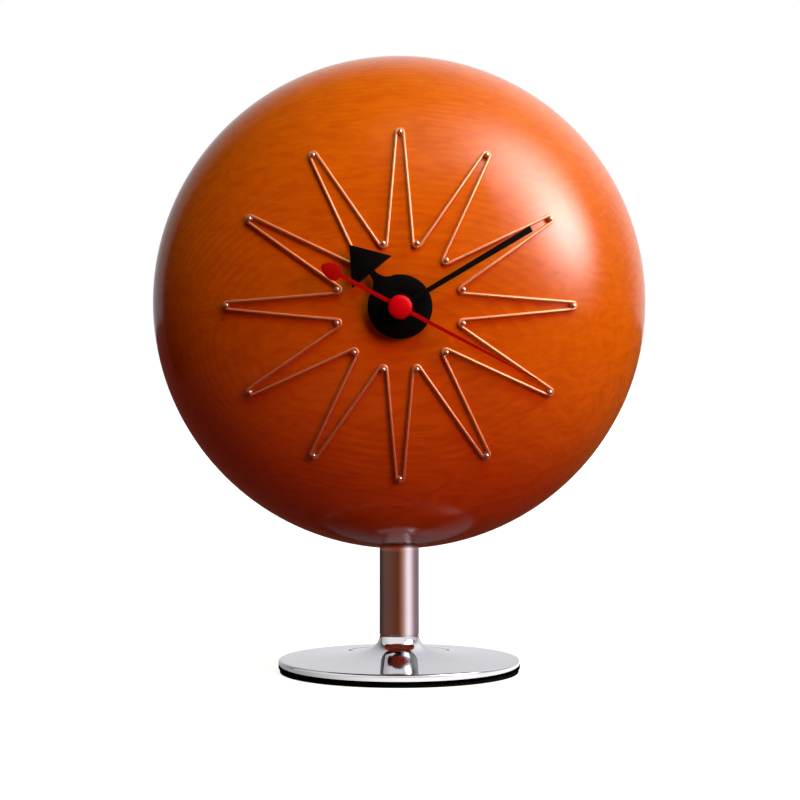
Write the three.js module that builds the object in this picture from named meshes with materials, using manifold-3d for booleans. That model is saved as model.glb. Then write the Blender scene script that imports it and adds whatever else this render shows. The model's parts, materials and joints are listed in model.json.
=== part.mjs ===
// A table clock: a turned wooden lens on a chrome stem and foot, with a star of bent wire for a dial
// and a battery movement in a bay at its back.
// Sizes are in millimetres and angles in degrees. The clock stands on z = 0 and its dial faces -Y.
import * as THREE from "three";
import { mergeVertices } from "three/addons/utils/BufferGeometryUtils.js";
import Module from "manifold-3d";

const wasm = await Module();
wasm.setup();

// Clearances
const SEAT_GAP = 0.1;
const HAND_FIT = 0.1;
const RUNNING_GAP = 0.15;
const SCREW_FIT = 0.15;

// Wooden body, an ellipse turned about the dial axis
const BODY_RADIUS = 75;
const FRONT_DEPTH = 46;
const BACK_DEPTH = 38;
const FRONT_WALL = 16;
const SEAM_BEHIND_STEM = 8;
const LIP_THICKNESS = 4;
const LIP_LENGTH = 4;
const DOWEL_RADIUS = 2;
const DOWEL_LENGTH = 10;
const BAY_CLEARANCE = 3.9;

// Stand
const BASE_RADIUS = 37;
const BASE_RIM_HEIGHT = 2.8;
const BASE_TOP_EDGE = 0.8;
const BASE_UNDER_EDGE = 0.3;
const BASE_NECK_HEIGHT = 10.5;
const NECK_STEP = 0.05;
const FLARE_NECK_PULL = 5.2;
const FLARE_FOOT_RADIUS = 12;
const FLARE_FOOT_RISE = 1.1;
const FLARE_RIM_INSET = 1.5;
const FOOT_PAD_THICKNESS = 1.1;
const FOOT_PAD_INSET = 0.4;
const STEM_RADIUS = 6;
const STEM_WALL = 1;
const STEM_SHOWN = 26.3;
const STEM_SOCKET_DEPTH = 5.5;
const SPIGOT_LENGTH = 4;
const TIE_ROD_RADIUS = 3;
const BASE_NUT_FLATS = 10;
const BASE_NUT_HEIGHT = 5;
const BASE_NUT_ROOM = 0.5;
const SEAT_WASHER_THICKNESS = 0.7;
const INSERT_WALL = 1.45;
const INSERT_LENGTH = 12;
const ROD_END_ROOM = 1;

// Dial star
const HOURS = 12;
const OUTER_PIN_CIRCLE = 50.4;
const INNER_PIN_CIRCLE = 18.8;
const WIRE_RADIUS = 0.5;
const WIRE_LIFT = 0.3;
const WIRE_PIN_GAP = 0.05;
const PIN_RADIUS = 0.5;
const PIN_DEPTH = 6.3;
const PIN_HOLE_FIT = 0.1;
const PIN_HEAD_RADIUS = 1.05;
const PIN_HEAD_HEIGHT = 0.8;
const PIN_HEAD_SIDE = 0.4;
const PIN_HEAD_GAP = 0.2;

// Movement case, battery and fastening
const CASE_WALL = 1.4;
const CASE_CORNER = 3;
const CASE_SPLIT = 8;
const BATTERY_RADIUS = 7.25;
const BATTERY_LENGTH = 50.5;
const BATTERY_NUB_RADIUS = 2.75;
const BATTERY_NUB_LENGTH = 1;
const BATTERY_EDGE = 0.35;
const BATTERY_GAP = 0.2;
const CONTACT_THICKNESS = 0.5;
const CONTACT_BUMP = 0.4;
const CONTACT_WIDTH = 10;
const POSITIVE_BUMP_WIDTH = 2.8;
const NEGATIVE_BUMP_WIDTH = 5;
const PARTITION = 1;
const GASKET_THICKNESS = 1;
const GASKET_RADIUS = 10;
const BUSHING_RADIUS = 4;
const BUSHING_PROUD = 1;
const NUT_FLATS = 12;
const NUT_HEIGHT = 2;
const WASHER_RADIUS = 7.6;
const WASHER_THICKNESS = 0.8;
const COUNTERBORE_DEPTH = 2.4;
const COUNTERBORE_ROOM = 0.6;

// Shafts, one inside the next
const SECONDS_SHAFT_RADIUS = 0.45;
const MINUTE_ARBOR_WALL = 0.9;
const HOUR_TUBE_WALL = 0.85;
const ARBOR_RADIUS = 0.45;
const PIVOT_DEPTH = 0.8;
const PIVOT_FIT = 0.1;
const STUD_RADIUS = 0.8;

// Wheel train. Each layer is a depth behind the front face of the case
const WHEEL_THICKNESS = 1.2;
const LAYER_STEP = 1.6;
const FIRST_LAYER = 1.7;
const THIRD_MODULE = 0.4;
const MOTION_MODULE = 0.54;
const STEP_MODULE = 0.5333;
const ROTOR_MODULE = 0.4267;
const THIRD_BEARING = 140;
const INTERMEDIATE_BEARING = 75;
const ROTOR_BEARING = 120;
const REDUCTION_BEARING = 20;
const KNOB_BEARING = 40;
const DEDENDUM = 1.15;
const WHEEL_FORM = { addendum: 0.8, rootShare: 0.55, tipShare: 0 };
const PINION_FORM = { addendum: 0.7, rootShare: 0.42, tipShare: 0.14 };

// Motor, circuit and setting knob
const MAGNET_RADIUS = 2.6;
const MAGNET_THICKNESS = 1.8;
const MAGNET_GAP = 0.4;
const ROTOR_HUB_RADIUS = 0.64;
const STATOR_THICKNESS = 1.2;
const STATOR_RIM = 0.8;
const STATOR_LEFT = 16;
const STATOR_RIGHT = 15.5;
const STATOR_ARM = 4;
const STATOR_POST_RADIUS = 1.5;
const COIL_FLANGE_RADIUS = 2.4;
const COIL_RADIUS = 2.1;
const COIL_FLANGE = 1;
const BOARD_WIDTH = 7;
const BOARD_LENGTH = 26;
const BOARD_THICKNESS = 1.2;
const KNOB_RADIUS = 5;
const KNOB_THICKNESS = 2.6;
const KNOB_SHAFT_RADIUS = 1.2;
const KNOB_RIBS = 24;
const KNOB_RIB_DEPTH = 0.4;

// Hands, as heights in front of the wood and angles clockwise from twelve
const HOUR_HAND_HEIGHT = 2.2;
const MINUTE_HAND_HEIGHT = 4.2;
const SECOND_HAND_HEIGHT = 6.4;
const HAND_THICKNESS = 0.6;
const SECOND_HAND_THICKNESS = 0.4;
const SHAFT_PROUD = 0.2;
const HOUR_HAND_ANGLE = 320.7;
const HOUR_HUB_RADIUS = 9.4;
const HOUR_NECK_RADIUS = 12.9;
const HOUR_NECK_WIDTH = 2;
const HOUR_FILLET_ANGLE = 28;
const HOUR_FILLET_PULL = 0.5;
const HOUR_ARROW_WIDTH = 15;
const HOUR_HAND_LENGTH = 23.2;
const MINUTE_HAND_ANGLE = 59.2;
const MINUTE_HUB_RADIUS = 4.2;
const MINUTE_HAND_LENGTH = 44.2;
const MINUTE_HUB_WIDTH = 1.4;
const MINUTE_TIP_WIDTH = 1.9;
const SECOND_HAND_ANGLE = 117.8;
const SECOND_HUB_RADIUS = 2.4;
const SECOND_HAND_LENGTH = 45;
const SECOND_HUB_WIDTH = 1.3;
const SECOND_TIP_WIDTH = 0.4;
const TAIL_WIDTH = 1.2;
const TAIL_BAR_LENGTH = 19.4;
const TAIL_LENGTH = 26.2;
const TAIL_PADDLE_WIDTH = 4.9;
const TAIL_SHOULDER = 2.1;
const CAP_RADIUS = 3.5;
const CAP_SIDE_HEIGHT = 1.2;
const CAP_HEIGHT = 2.3;
const CAP_GRIP = 0.6;

// Facets
const BODY_SIDES = 48;
const ROUND_SIDES = 36;
const TUBE_SIDES = 20;
const SMALL_SIDES = 8;
const PIN_SIDES = 6;
const WIRE_SIDES = 6;
const WIRE_ARC_STEPS = 3;
const WIRE_LEG_STEPS = 3;
const CORNER_STEPS = 3;
const FRONT_STEPS = 10;
const REAR_STEPS = 5;
const SIDE_STEPS = 2;
const FLARE_STEPS = 6;

// Places that follow from the sizes
const RIGHT_ANGLE = Math.PI / 2;
const FULL_TURN = 2 * Math.PI;
const baseBottom = FOOT_PAD_THICKNESS + SEAT_GAP;
const rimTop = baseBottom + BASE_RIM_HEIGHT;
const neckTop = baseBottom + BASE_NECK_HEIGHT;
const bodyBottom = neckTop + STEM_SHOWN;
const centreHeight = bodyBottom + BODY_RADIUS;
const stemTop = bodyBottom + STEM_SOCKET_DEPTH;
const seatWasherTop = stemTop + SEAT_GAP + SEAT_WASHER_THICKNESS;
const insertBottom = seatWasherTop + SEAT_GAP;
const insertTop = insertBottom + INSERT_LENGTH;
const rodBore = TIE_ROD_RADIUS + SCREW_FIT;
const insertRadius = rodBore + INSERT_WALL;
const nutRecessTop = baseBottom + BASE_NUT_HEIGHT + BASE_NUT_ROOM;
const baseNutTop = nutRecessTop - SEAT_GAP;
const baseNutBottom = baseNutTop - BASE_NUT_HEIGHT;
const seam = -(STEM_RADIUS + SEAM_BEHIND_STEM);

const contactRoom = CONTACT_THICKNESS + CONTACT_BUMP + BATTERY_GAP + SEAT_GAP;
const caseInside = BATTERY_LENGTH / 2 + contactRoom;
const caseHalf = caseInside + CASE_WALL;
const caseDepth = 2 * (CASE_WALL / 2 + BATTERY_GAP + BATTERY_RADIUS) + BATTERY_GAP;
const rearWall = caseDepth - CASE_WALL;
const batteryDepth = CASE_WALL + BATTERY_GAP + BATTERY_RADIUS;
const batteryHeight = -(caseInside - BATTERY_GAP - BATTERY_RADIUS);
const partitionBottom = batteryHeight + BATTERY_RADIUS + BATTERY_GAP;
const bayRadius = Math.SQRT2 * (caseHalf - CASE_CORNER) + CASE_CORNER + BAY_CLEARANCE;
const lipRadius = bayRadius + LIP_THICKNESS;
const bayFloor = FRONT_DEPTH - FRONT_WALL;
const caseFront = bayFloor - SEAT_GAP - GASKET_THICKNESS - SEAT_GAP;
const bushingEnd = FRONT_DEPTH + BUSHING_PROUD;
const counterboreFloor = FRONT_DEPTH - COUNTERBORE_DEPTH;
const counterboreRadius = WASHER_RADIUS + COUNTERBORE_ROOM;
const bushingHole = BUSHING_RADIUS + SCREW_FIT;

const minuteBore = SECONDS_SHAFT_RADIUS + RUNNING_GAP;
const minuteRadius = minuteBore + MINUTE_ARBOR_WALL;
const hourBore = minuteRadius + RUNNING_GAP;
const hourRadius = hourBore + HOUR_TUBE_WALL;
const bushingBore = hourRadius + RUNNING_GAP;
const hourHandFloor = FRONT_DEPTH + HOUR_HAND_HEIGHT;
const minuteHandFloor = FRONT_DEPTH + MINUTE_HAND_HEIGHT;
const secondHandFloor = FRONT_DEPTH + SECOND_HAND_HEIGHT;
const capFloor = secondHandFloor + SECOND_HAND_THICKNESS + SEAT_GAP;

const wireHeight = WIRE_LIFT + WIRE_RADIUS;
const wrapRadius = PIN_RADIUS + WIRE_PIN_GAP + WIRE_RADIUS;
const pinHeadFloor = wireHeight + WIRE_RADIUS + PIN_HEAD_GAP;

// Finishes
const finish = (color, roughness, metalness) =>
  new THREE.MeshStandardMaterial({ color, roughness, metalness });
const wood = finish(0xc2601c, 0.2, 0);
const chrome = finish(0xd8d8dc, 0.08, 1);
const nickel = finish(0xe0d6cc, 0.15, 1);
const steel = finish(0x9a9c9f, 0.35, 1);
const brass = finish(0xb8924a, 0.3, 1);
const copper = finish(0xb4673a, 0.35, 1);
const blackPaint = finish(0x111111, 0.55, 0);
const redPaint = finish(0xb01818, 0.4, 0);
const rubber = finish(0x161616, 0.85, 0);
const blackPlastic = finish(0x1c1c1e, 0.5, 0);
const whitePlastic = finish(0xe8e6e0, 0.45, 0);
const boardGreen = finish(0x1f5a36, 0.5, 0);
const batteryWrap = finish(0x3a3d44, 0.35, 0.2);

// Solids
function solidOf(geometry) {
  const bare = geometry.clone();
  bare.deleteAttribute("normal");
  bare.deleteAttribute("uv");
  const merged = mergeVertices(bare, 1e-4);
  const corners = merged.index.array;
  const kept = [];
  for (let i = 0; i < corners.length; i += 3) {
    const [a, b, c] = corners.slice(i, i + 3);
    if (a !== b && b !== c && c !== a) kept.push(a, b, c);
  }
  return new wasm.Manifold(
    new wasm.Mesh({
      numProp: 3,
      vertProperties: merged.attributes.position.array,
      triVerts: new Uint32Array(kept),
    }),
  );
}

function geometryOf(solid) {
  const mesh = solid.getMesh();
  const geometry = new THREE.BufferGeometry();
  geometry.setAttribute("position", new THREE.BufferAttribute(mesh.vertProperties, 3));
  geometry.setIndex(new THREE.BufferAttribute(mesh.triVerts, 1));
  geometry.computeVertexNormals();
  return geometry;
}

const joined = (...solids) => solids.reduce((whole, solid) => whole.add(solid));
const cut = (solid, ...tools) => tools.reduce((rest, tool) => rest.subtract(tool), solid);

// A profile of [radius, height] points turned about Z. It runs anticlockwise round the section.
function turned(profile, sides) {
  const points = profile.map(([radius, height]) => new THREE.Vector2(radius, height));
  return new THREE.LatheGeometry(points, sides).rotateX(RIGHT_ANGLE);
}

function rod(radius, low, high, sides) {
  return turned([[0, low], [radius, low], [radius, high], [0, high]], sides);
}

function ring(outer, inner, low, high, sides) {
  const section = [[inner, low], [outer, low], [outer, high], [inner, high], [inner, low]];
  return turned(section, sides);
}

function plate(shape, low, high, curveSegments = CORNER_STEPS) {
  const depth = high - low;
  const settings = { depth, bevelEnabled: false, curveSegments };
  return new THREE.ExtrudeGeometry(shape, settings).translate(0, 0, low);
}

function block(left, right, bottom, top, low, high) {
  const geometry = new THREE.BoxGeometry(right - left, top - bottom, high - low);
  return geometry.translate((left + right) / 2, (bottom + top) / 2, (low + high) / 2);
}

function hexagon(flats) {
  const radius = flats / Math.sqrt(3);
  const corners = Array.from({ length: 6 }, (_, i) => polar(radius, i * 60));
  return new THREE.Shape(corners);
}

function polar(radius, degrees) {
  const angle = THREE.MathUtils.degToRad(degrees);
  return new THREE.Vector2(radius * Math.cos(angle), radius * Math.sin(angle));
}

// Depths behind the front face of the movement case, turned into heights along the dial axis
const behind = (depth) => caseFront - depth;
const rodBehind = (radius, near, far, sides = SMALL_SIDES) =>
  rod(radius, behind(far), behind(near), sides);

const clock = new THREE.Group();
const face = new THREE.Group();
face.rotation.x = RIGHT_ANGLE;
face.position.z = centreHeight;
clock.add(face);

function piece(group, name, solid, material) {
  const mesh = new THREE.Mesh(geometryOf(solid), material);
  mesh.name = name;
  group.add(mesh);
}

// The stand, from the table up
function buildStand() {
  const padRadius = BASE_RADIUS - FOOT_PAD_INSET;
  piece(clock, "foot_pad", solidOf(rod(padRadius, 0, FOOT_PAD_THICKNESS, ROUND_SIDES)), rubber);

  const neckRadius = STEM_RADIUS - NECK_STEP;
  const flare = new THREE.CubicBezierCurve(
    new THREE.Vector2(BASE_RADIUS - FLARE_RIM_INSET, rimTop),
    new THREE.Vector2(FLARE_FOOT_RADIUS, rimTop + FLARE_FOOT_RISE),
    new THREE.Vector2(neckRadius, neckTop - FLARE_NECK_PULL),
    new THREE.Vector2(neckRadius, neckTop),
  );
  const stemBore = STEM_RADIUS - STEM_WALL;
  const spigotRadius = stemBore - RUNNING_GAP;
  const recessRadius = BASE_NUT_FLATS / Math.sqrt(3) + BASE_NUT_ROOM;
  const baseSection = [
    [recessRadius, baseBottom],
    [BASE_RADIUS - BASE_UNDER_EDGE, baseBottom],
    [BASE_RADIUS, baseBottom + BASE_UNDER_EDGE],
    [BASE_RADIUS, rimTop - BASE_TOP_EDGE],
    [BASE_RADIUS - BASE_TOP_EDGE, rimTop],
    ...flare.getPoints(FLARE_STEPS).map((point) => [point.x, point.y]),
    [spigotRadius, neckTop],
    [spigotRadius, neckTop + SPIGOT_LENGTH],
    [rodBore, neckTop + SPIGOT_LENGTH],
    [rodBore, nutRecessTop],
    [recessRadius, nutRecessTop],
    [recessRadius, baseBottom],
  ];
  piece(clock, "base_plate", solidOf(turned(baseSection, ROUND_SIDES)), chrome);

  const nut = cut(
    solidOf(plate(hexagon(BASE_NUT_FLATS), baseNutBottom, baseNutTop)),
    solidOf(rod(rodBore, 0, neckTop, SMALL_SIDES)),
  );
  piece(clock, "base_nut", nut, steel);

  const tube = ring(STEM_RADIUS, stemBore, neckTop + SEAT_GAP, stemTop, TUBE_SIDES);
  piece(clock, "stem_tube", solidOf(tube), chrome);

  const washer = ring(STEM_RADIUS, rodBore, stemTop + SEAT_GAP, seatWasherTop, TUBE_SIDES);
  piece(clock, "stem_seat_washer", solidOf(washer), steel);

  const insert = ring(insertRadius, rodBore, insertBottom, insertTop, SMALL_SIDES);
  piece(clock, "threaded_insert", solidOf(insert), brass);

  const tieRod = rod(TIE_ROD_RADIUS, baseNutBottom, insertTop, SMALL_SIDES);
  piece(clock, "tie_rod", solidOf(tieRod), steel);
}

// The wooden body and its pins, in the frame of the dial: x right, y up, z towards the viewer
const frontHeight = (radius) => FRONT_DEPTH * Math.sqrt(1 - (radius / BODY_RADIUS) ** 2);
const backRadius = (height) => BODY_RADIUS * Math.sqrt(1 - (height / BACK_DEPTH) ** 2);

// Points on the body's section from one angle of the ellipse to another
function ellipseArc(depth, from, to, steps) {
  return Array.from({ length: steps + 1 }, (_, i) => {
    const angle = from + ((to - from) * i) / steps;
    return [BODY_RADIUS * Math.cos(angle), depth * Math.sin(angle)];
  });
}

// A geometry along Z, stood on the front of the body over x, y and square to its surface
function stoodOnFront(geometry, x, y) {
  const { point, normal } = frontSurface(x, y);
  const turn = new THREE.Quaternion().setFromUnitVectors(new THREE.Vector3(0, 0, 1), normal);
  return geometry.applyQuaternion(turn).translate(point.x, point.y, point.z);
}

function frontSurface(x, y) {
  const z = frontHeight(Math.hypot(x, y));
  const normal = new THREE.Vector3(x / BODY_RADIUS ** 2, y / BODY_RADIUS ** 2, z / FRONT_DEPTH ** 2);
  return { point: new THREE.Vector3(x, y, z), normal: normal.normalize() };
}

const outerPins = Array.from({ length: HOURS }, (_, i) =>
  polar(OUTER_PIN_CIRCLE, 90 - (i * 360) / HOURS));
const innerPins = Array.from({ length: HOURS }, (_, i) =>
  polar(INNER_PIN_CIRCLE, 90 - ((i + 0.5) * 360) / HOURS));

function buildBody() {
  const seamGapRear = seam - SEAT_GAP;
  const lipBore = lipRadius + RUNNING_GAP;
  const frontSection = [
    [lipBore, seam],
    ...ellipseArc(BACK_DEPTH, Math.asin(seam / BACK_DEPTH), 0, SIDE_STEPS).slice(0, -1),
    ...ellipseArc(FRONT_DEPTH, 0, Math.acos(counterboreRadius / BODY_RADIUS), FRONT_STEPS),
    [counterboreRadius, counterboreFloor],
    [bushingHole, counterboreFloor],
    [bushingHole, bayFloor],
    [bayRadius, bayFloor],
    [bayRadius, seam + LIP_LENGTH],
    [lipBore, seam + LIP_LENGTH],
    [lipBore, seam],
  ];
  const rearRimAngle = -Math.acos(bayRadius / BODY_RADIUS);
  const rearSection = [
    ...ellipseArc(BACK_DEPTH, rearRimAngle, Math.asin(seamGapRear / BACK_DEPTH), REAR_STEPS),
    [lipRadius, seamGapRear],
    [lipRadius, seam + LIP_LENGTH - SEAT_GAP],
    [bayRadius, seam + LIP_LENGTH - SEAT_GAP],
    [bayRadius, BACK_DEPTH * Math.sin(rearRimAngle)],
  ];

  const dowelOffset = (lipBore + backRadius(seam)) / 2;
  const dowelMiddle = (seam + seamGapRear) / 2;
  const dowel = (x, room) => {
    const half = DOWEL_LENGTH / 2 + room;
    const peg = rod(DOWEL_RADIUS + room, dowelMiddle - half, dowelMiddle + half, SMALL_SIDES);
    return solidOf(peg.translate(x, 0, 0));
  };
  const dowelHoles = [dowel(-dowelOffset, RUNNING_GAP), dowel(dowelOffset, RUNNING_GAP)];
  piece(face, "shell_dowel_left", dowel(-dowelOffset, 0), wood);
  piece(face, "shell_dowel_right", dowel(dowelOffset, 0), wood);

  // The socket for the stem, and above it the hole for the threaded insert
  const upright = (radius, low, high) =>
    solidOf(rod(radius, low - centreHeight, high - centreHeight, TUBE_SIDES).rotateX(-RIGHT_ANGLE));
  const socket = upright(STEM_RADIUS + RUNNING_GAP, neckTop, insertBottom);
  const insertHole = upright(insertRadius + RUNNING_GAP, stemTop, insertTop + ROD_END_ROOM);

  const pinHole = ({ x, y }) =>
    solidOf(stoodOnFront(
      rod(PIN_RADIUS + PIN_HOLE_FIT, -PIN_DEPTH - SEAT_GAP, pinHeadFloor, PIN_SIDES), x, y));
  const pinHoles = [...outerPins, ...innerPins].map(pinHole);

  const front = solidOf(turned(frontSection, BODY_SIDES));
  piece(face, "front_shell", cut(front, ...dowelHoles, socket, insertHole, ...pinHoles), wood);
  const rear = solidOf(turned(rearSection, BODY_SIDES));
  piece(face, "rear_shell", cut(rear, ...dowelHoles), wood);
}

// The star: pins with domed heads, and one wire bent round them all
function buildDial() {
  const headTop = pinHeadFloor + PIN_HEAD_HEIGHT;
  const pinSection = [
    [0, -PIN_DEPTH],
    [PIN_RADIUS, -PIN_DEPTH],
    [PIN_RADIUS, pinHeadFloor],
    [PIN_HEAD_RADIUS, pinHeadFloor],
    [PIN_HEAD_RADIUS, pinHeadFloor + PIN_HEAD_SIDE],
    [0, headTop],
  ];
  const pins = (kind, places) =>
    places.forEach(({ x, y }, i) => {
      const number = String(i + 1).padStart(2, "0");
      const solid = solidOf(stoodOnFront(turned(pinSection, PIN_SIDES), x, y));
      piece(face, `dial_pin_${kind}_${number}`, solid, nickel);
    });
  pins("outer", outerPins);
  pins("inner", innerPins);
  piece(face, "dial_wire", solidOf(closedTube(starPath())), nickel);
}

// The wire's path over the front: round the outside of each outer pin, across to the inside of the
// next inner pin, and on, as [x, y] points
function starPath() {
  const path = [];
  outerPins.forEach((outer, i) => {
    const inner = innerPins[i];
    const nextOuter = outerPins[(i + 1) % HOURS];
    const leaveOuter = crossingAngle(outer, inner, 1);
    const leaveInner = crossingAngle(inner, nextOuter, -1);
    const outward = outer.angle();
    const inward = inner.angle() + Math.PI;
    path.push(...arcRound(outer, outward, leaveOuter));
    path.push(...legBetween(onWrap(outer, leaveOuter), onWrap(inner, leaveOuter + Math.PI)));
    path.push(...arcRound(inner, inward, leaveInner));
    path.push(...legBetween(onWrap(inner, leaveInner), onWrap(nextOuter, leaveInner + Math.PI)));
  });
  return path;
}

// The angle round a pin at which the wire leaves it for the other side of the next pin
function crossingAngle(from, to, side) {
  const step = to.clone().sub(from);
  return step.angle() + side * Math.acos((2 * wrapRadius) / step.length());
}

const onWrap = (pin, angle) =>
  new THREE.Vector2(Math.cos(angle), Math.sin(angle)).multiplyScalar(wrapRadius).add(pin);

// Points round a pin, from the mirror image of the leaving angle to that angle
function arcRound(pin, middle, leaving) {
  const half = Math.atan2(Math.sin(leaving - middle), Math.cos(leaving - middle));
  return Array.from({ length: WIRE_ARC_STEPS + 1 }, (_, i) =>
    onWrap(pin, middle + half * ((2 * i) / WIRE_ARC_STEPS - 1)));
}

// Points between the ends of a leg, without the ends
function legBetween(start, end) {
  return Array.from({ length: WIRE_LEG_STEPS - 1 }, (_, i) =>
    start.clone().lerp(end, (i + 1) / WIRE_LEG_STEPS));
}

// A round tube whose middle runs over the front of the body, closed on itself
function closedTube(path) {
  const stations = path.map(({ x, y }) => {
    const { point, normal } = frontSurface(x, y);
    return { centre: point.addScaledVector(normal, wireHeight), normal };
  });
  const count = stations.length;
  const positions = [];
  stations.forEach(({ centre, normal }, i) => {
    const before = stations[(i + count - 1) % count].centre;
    const after = stations[(i + 1) % count].centre;
    const along = after.clone().sub(before).normalize();
    const across = along.clone().cross(normal).normalize();
    const up = across.clone().cross(along);
    for (let side = 0; side < WIRE_SIDES; side++) {
      const angle = (side * FULL_TURN) / WIRE_SIDES;
      const point = centre.clone();
      point.addScaledVector(up, WIRE_RADIUS * Math.cos(angle));
      point.addScaledVector(across, WIRE_RADIUS * Math.sin(angle));
      positions.push(point.x, point.y, point.z);
    }
  });
  const faces = [];
  for (let i = 0; i < count; i++) {
    for (let side = 0; side < WIRE_SIDES; side++) {
      const next = (side + 1) % WIRE_SIDES;
      const ring0 = i * WIRE_SIDES;
      const ring1 = ((i + 1) % count) * WIRE_SIDES;
      faces.push(ring0 + side, ring0 + next, ring1 + side);
      faces.push(ring0 + next, ring1 + next, ring1 + side);
    }
  }
  const geometry = new THREE.BufferGeometry();
  geometry.setAttribute("position", new THREE.Float32BufferAttribute(positions, 3));
  geometry.setIndex(faces);
  return geometry;
}

// The wheel train: where each axis lies, and how far each tooth pattern is turned so that it meshes
const layer = (number) => {
  const near = FIRST_LAYER + number * LAYER_STEP;
  return [near, near + WHEEL_THICKNESS];
};
const [HOUR_LAYER, MOTION_LAYER, CENTRE_LAYER, THIRD_LAYER, SECONDS_LAYER, ROTOR_LAYER] =
  [0, 1, 2, 3, 4, 5].map(layer);

const toothed = (teeth, module, form, at) => ({ teeth, module, form, at, phase: 0 });
const distanceBetween = (a, b, module) => ((a + b) * module) / 2;
const origin = new THREE.Vector2(0, 0);
const axisFrom = (from, distance, bearing) => polar(distance, bearing).add(from);

const THIRD_TEETH = 45;
const CENTRE_TEETH = 48;
const SECONDS_TEETH = 36;
const STEP_TEETH = 30;
const HOUR_TEETH = 40;
const REDUCTION_TEETH = 30;
const LEAVES = 6;
const MOTION_LEAVES = 10;

const thirdDistance = distanceBetween(CENTRE_TEETH, LEAVES, THIRD_MODULE);
const secondsModule = (2 * thirdDistance) / (THIRD_TEETH + LEAVES);
const motionDistance = distanceBetween(MOTION_LEAVES, REDUCTION_TEETH, MOTION_MODULE);
const hourModule = (2 * motionDistance) / (HOUR_TEETH + MOTION_LEAVES);
const stepDistance = distanceBetween(SECONDS_TEETH, LEAVES, STEP_MODULE);
const rotorDistance = distanceBetween(STEP_TEETH, LEAVES, ROTOR_MODULE);

const thirdAxis = axisFrom(origin, thirdDistance, THIRD_BEARING);
const intermediateAxis = axisFrom(origin, stepDistance, INTERMEDIATE_BEARING);
const rotorAxis = axisFrom(intermediateAxis, rotorDistance, ROTOR_BEARING);
const reductionAxis = axisFrom(origin, motionDistance, REDUCTION_BEARING);
const knobAxis = axisFrom(reductionAxis, motionDistance, KNOB_BEARING);

const secondsWheel = toothed(SECONDS_TEETH, STEP_MODULE, WHEEL_FORM, origin);
const intermediatePinion = toothed(LEAVES, STEP_MODULE, PINION_FORM, intermediateAxis);
const intermediateWheel = toothed(STEP_TEETH, ROTOR_MODULE, WHEEL_FORM, intermediateAxis);
const rotorPinion = toothed(LEAVES, ROTOR_MODULE, PINION_FORM, rotorAxis);
const secondsPinion = toothed(LEAVES, secondsModule, PINION_FORM, origin);
const thirdWheel = toothed(THIRD_TEETH, secondsModule, WHEEL_FORM, thirdAxis);
const thirdPinion = toothed(LEAVES, THIRD_MODULE, PINION_FORM, thirdAxis);
const centreWheel = toothed(CENTRE_TEETH, THIRD_MODULE, WHEEL_FORM, origin);
const cannonPinion = toothed(MOTION_LEAVES, MOTION_MODULE, PINION_FORM, origin);
const reductionWheel = toothed(REDUCTION_TEETH, MOTION_MODULE, WHEEL_FORM, reductionAxis);
const reductionPinion = toothed(MOTION_LEAVES, hourModule, PINION_FORM, reductionAxis);
const hourWheel = toothed(HOUR_TEETH, hourModule, WHEEL_FORM, origin);
const knobGear = toothed(MOTION_LEAVES, MOTION_MODULE, PINION_FORM, knobAxis);

// Turns the second wheel so that one of its gaps faces a tooth of the first
function mesh(first, second) {
  const bearing = second.at.clone().sub(first.at).angle();
  const firstPitches = ((bearing - first.phase) * first.teeth) / FULL_TURN;
  const secondPitches = 0.5 - firstPitches;
  second.phase = bearing + Math.PI - (secondPitches * FULL_TURN) / second.teeth;
}
mesh(secondsWheel, intermediatePinion);
mesh(intermediateWheel, rotorPinion);
mesh(secondsPinion, thirdWheel);
mesh(thirdPinion, centreWheel);
mesh(cannonPinion, reductionWheel);
mesh(reductionPinion, hourWheel);
mesh(reductionWheel, knobGear);

function toothOutline({ teeth, module, form, phase }) {
  const pitch = FULL_TURN / teeth;
  const root = module * (teeth / 2 - DEDENDUM);
  const tip = module * (teeth / 2 + form.addendum);
  const rootHalf = (form.rootShare * pitch) / 2;
  const tipHalf = (form.tipShare * pitch) / 2;
  const points = [];
  for (let i = 0; i < teeth; i++) {
    const middle = phase + i * pitch;
    const tipCorners = tipHalf > 0 ? [[tip, -tipHalf], [tip, tipHalf]] : [[tip, 0]];
    [[root, -rootHalf], ...tipCorners, [root, rootHalf]].forEach(([radius, angle]) =>
      points.push(new THREE.Vector2(radius, 0).rotateAround(origin, middle + angle)));
  }
  return new THREE.Shape(points);
}

function wheelSolid(wheel, [near, far]) {
  const disc = plate(toothOutline(wheel), behind(far), behind(near));
  return solidOf(disc.translate(wheel.at.x, wheel.at.y, 0));
}

const arborFront = CASE_WALL - PIVOT_DEPTH + RUNNING_GAP;
const arborRear = rearWall + PIVOT_DEPTH - RUNNING_GAP;
const arborAt = (at, near = arborFront, far = arborRear) =>
  solidOf(rodBehind(ARBOR_RADIUS, near, far).translate(at.x, at.y, 0));

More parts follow.
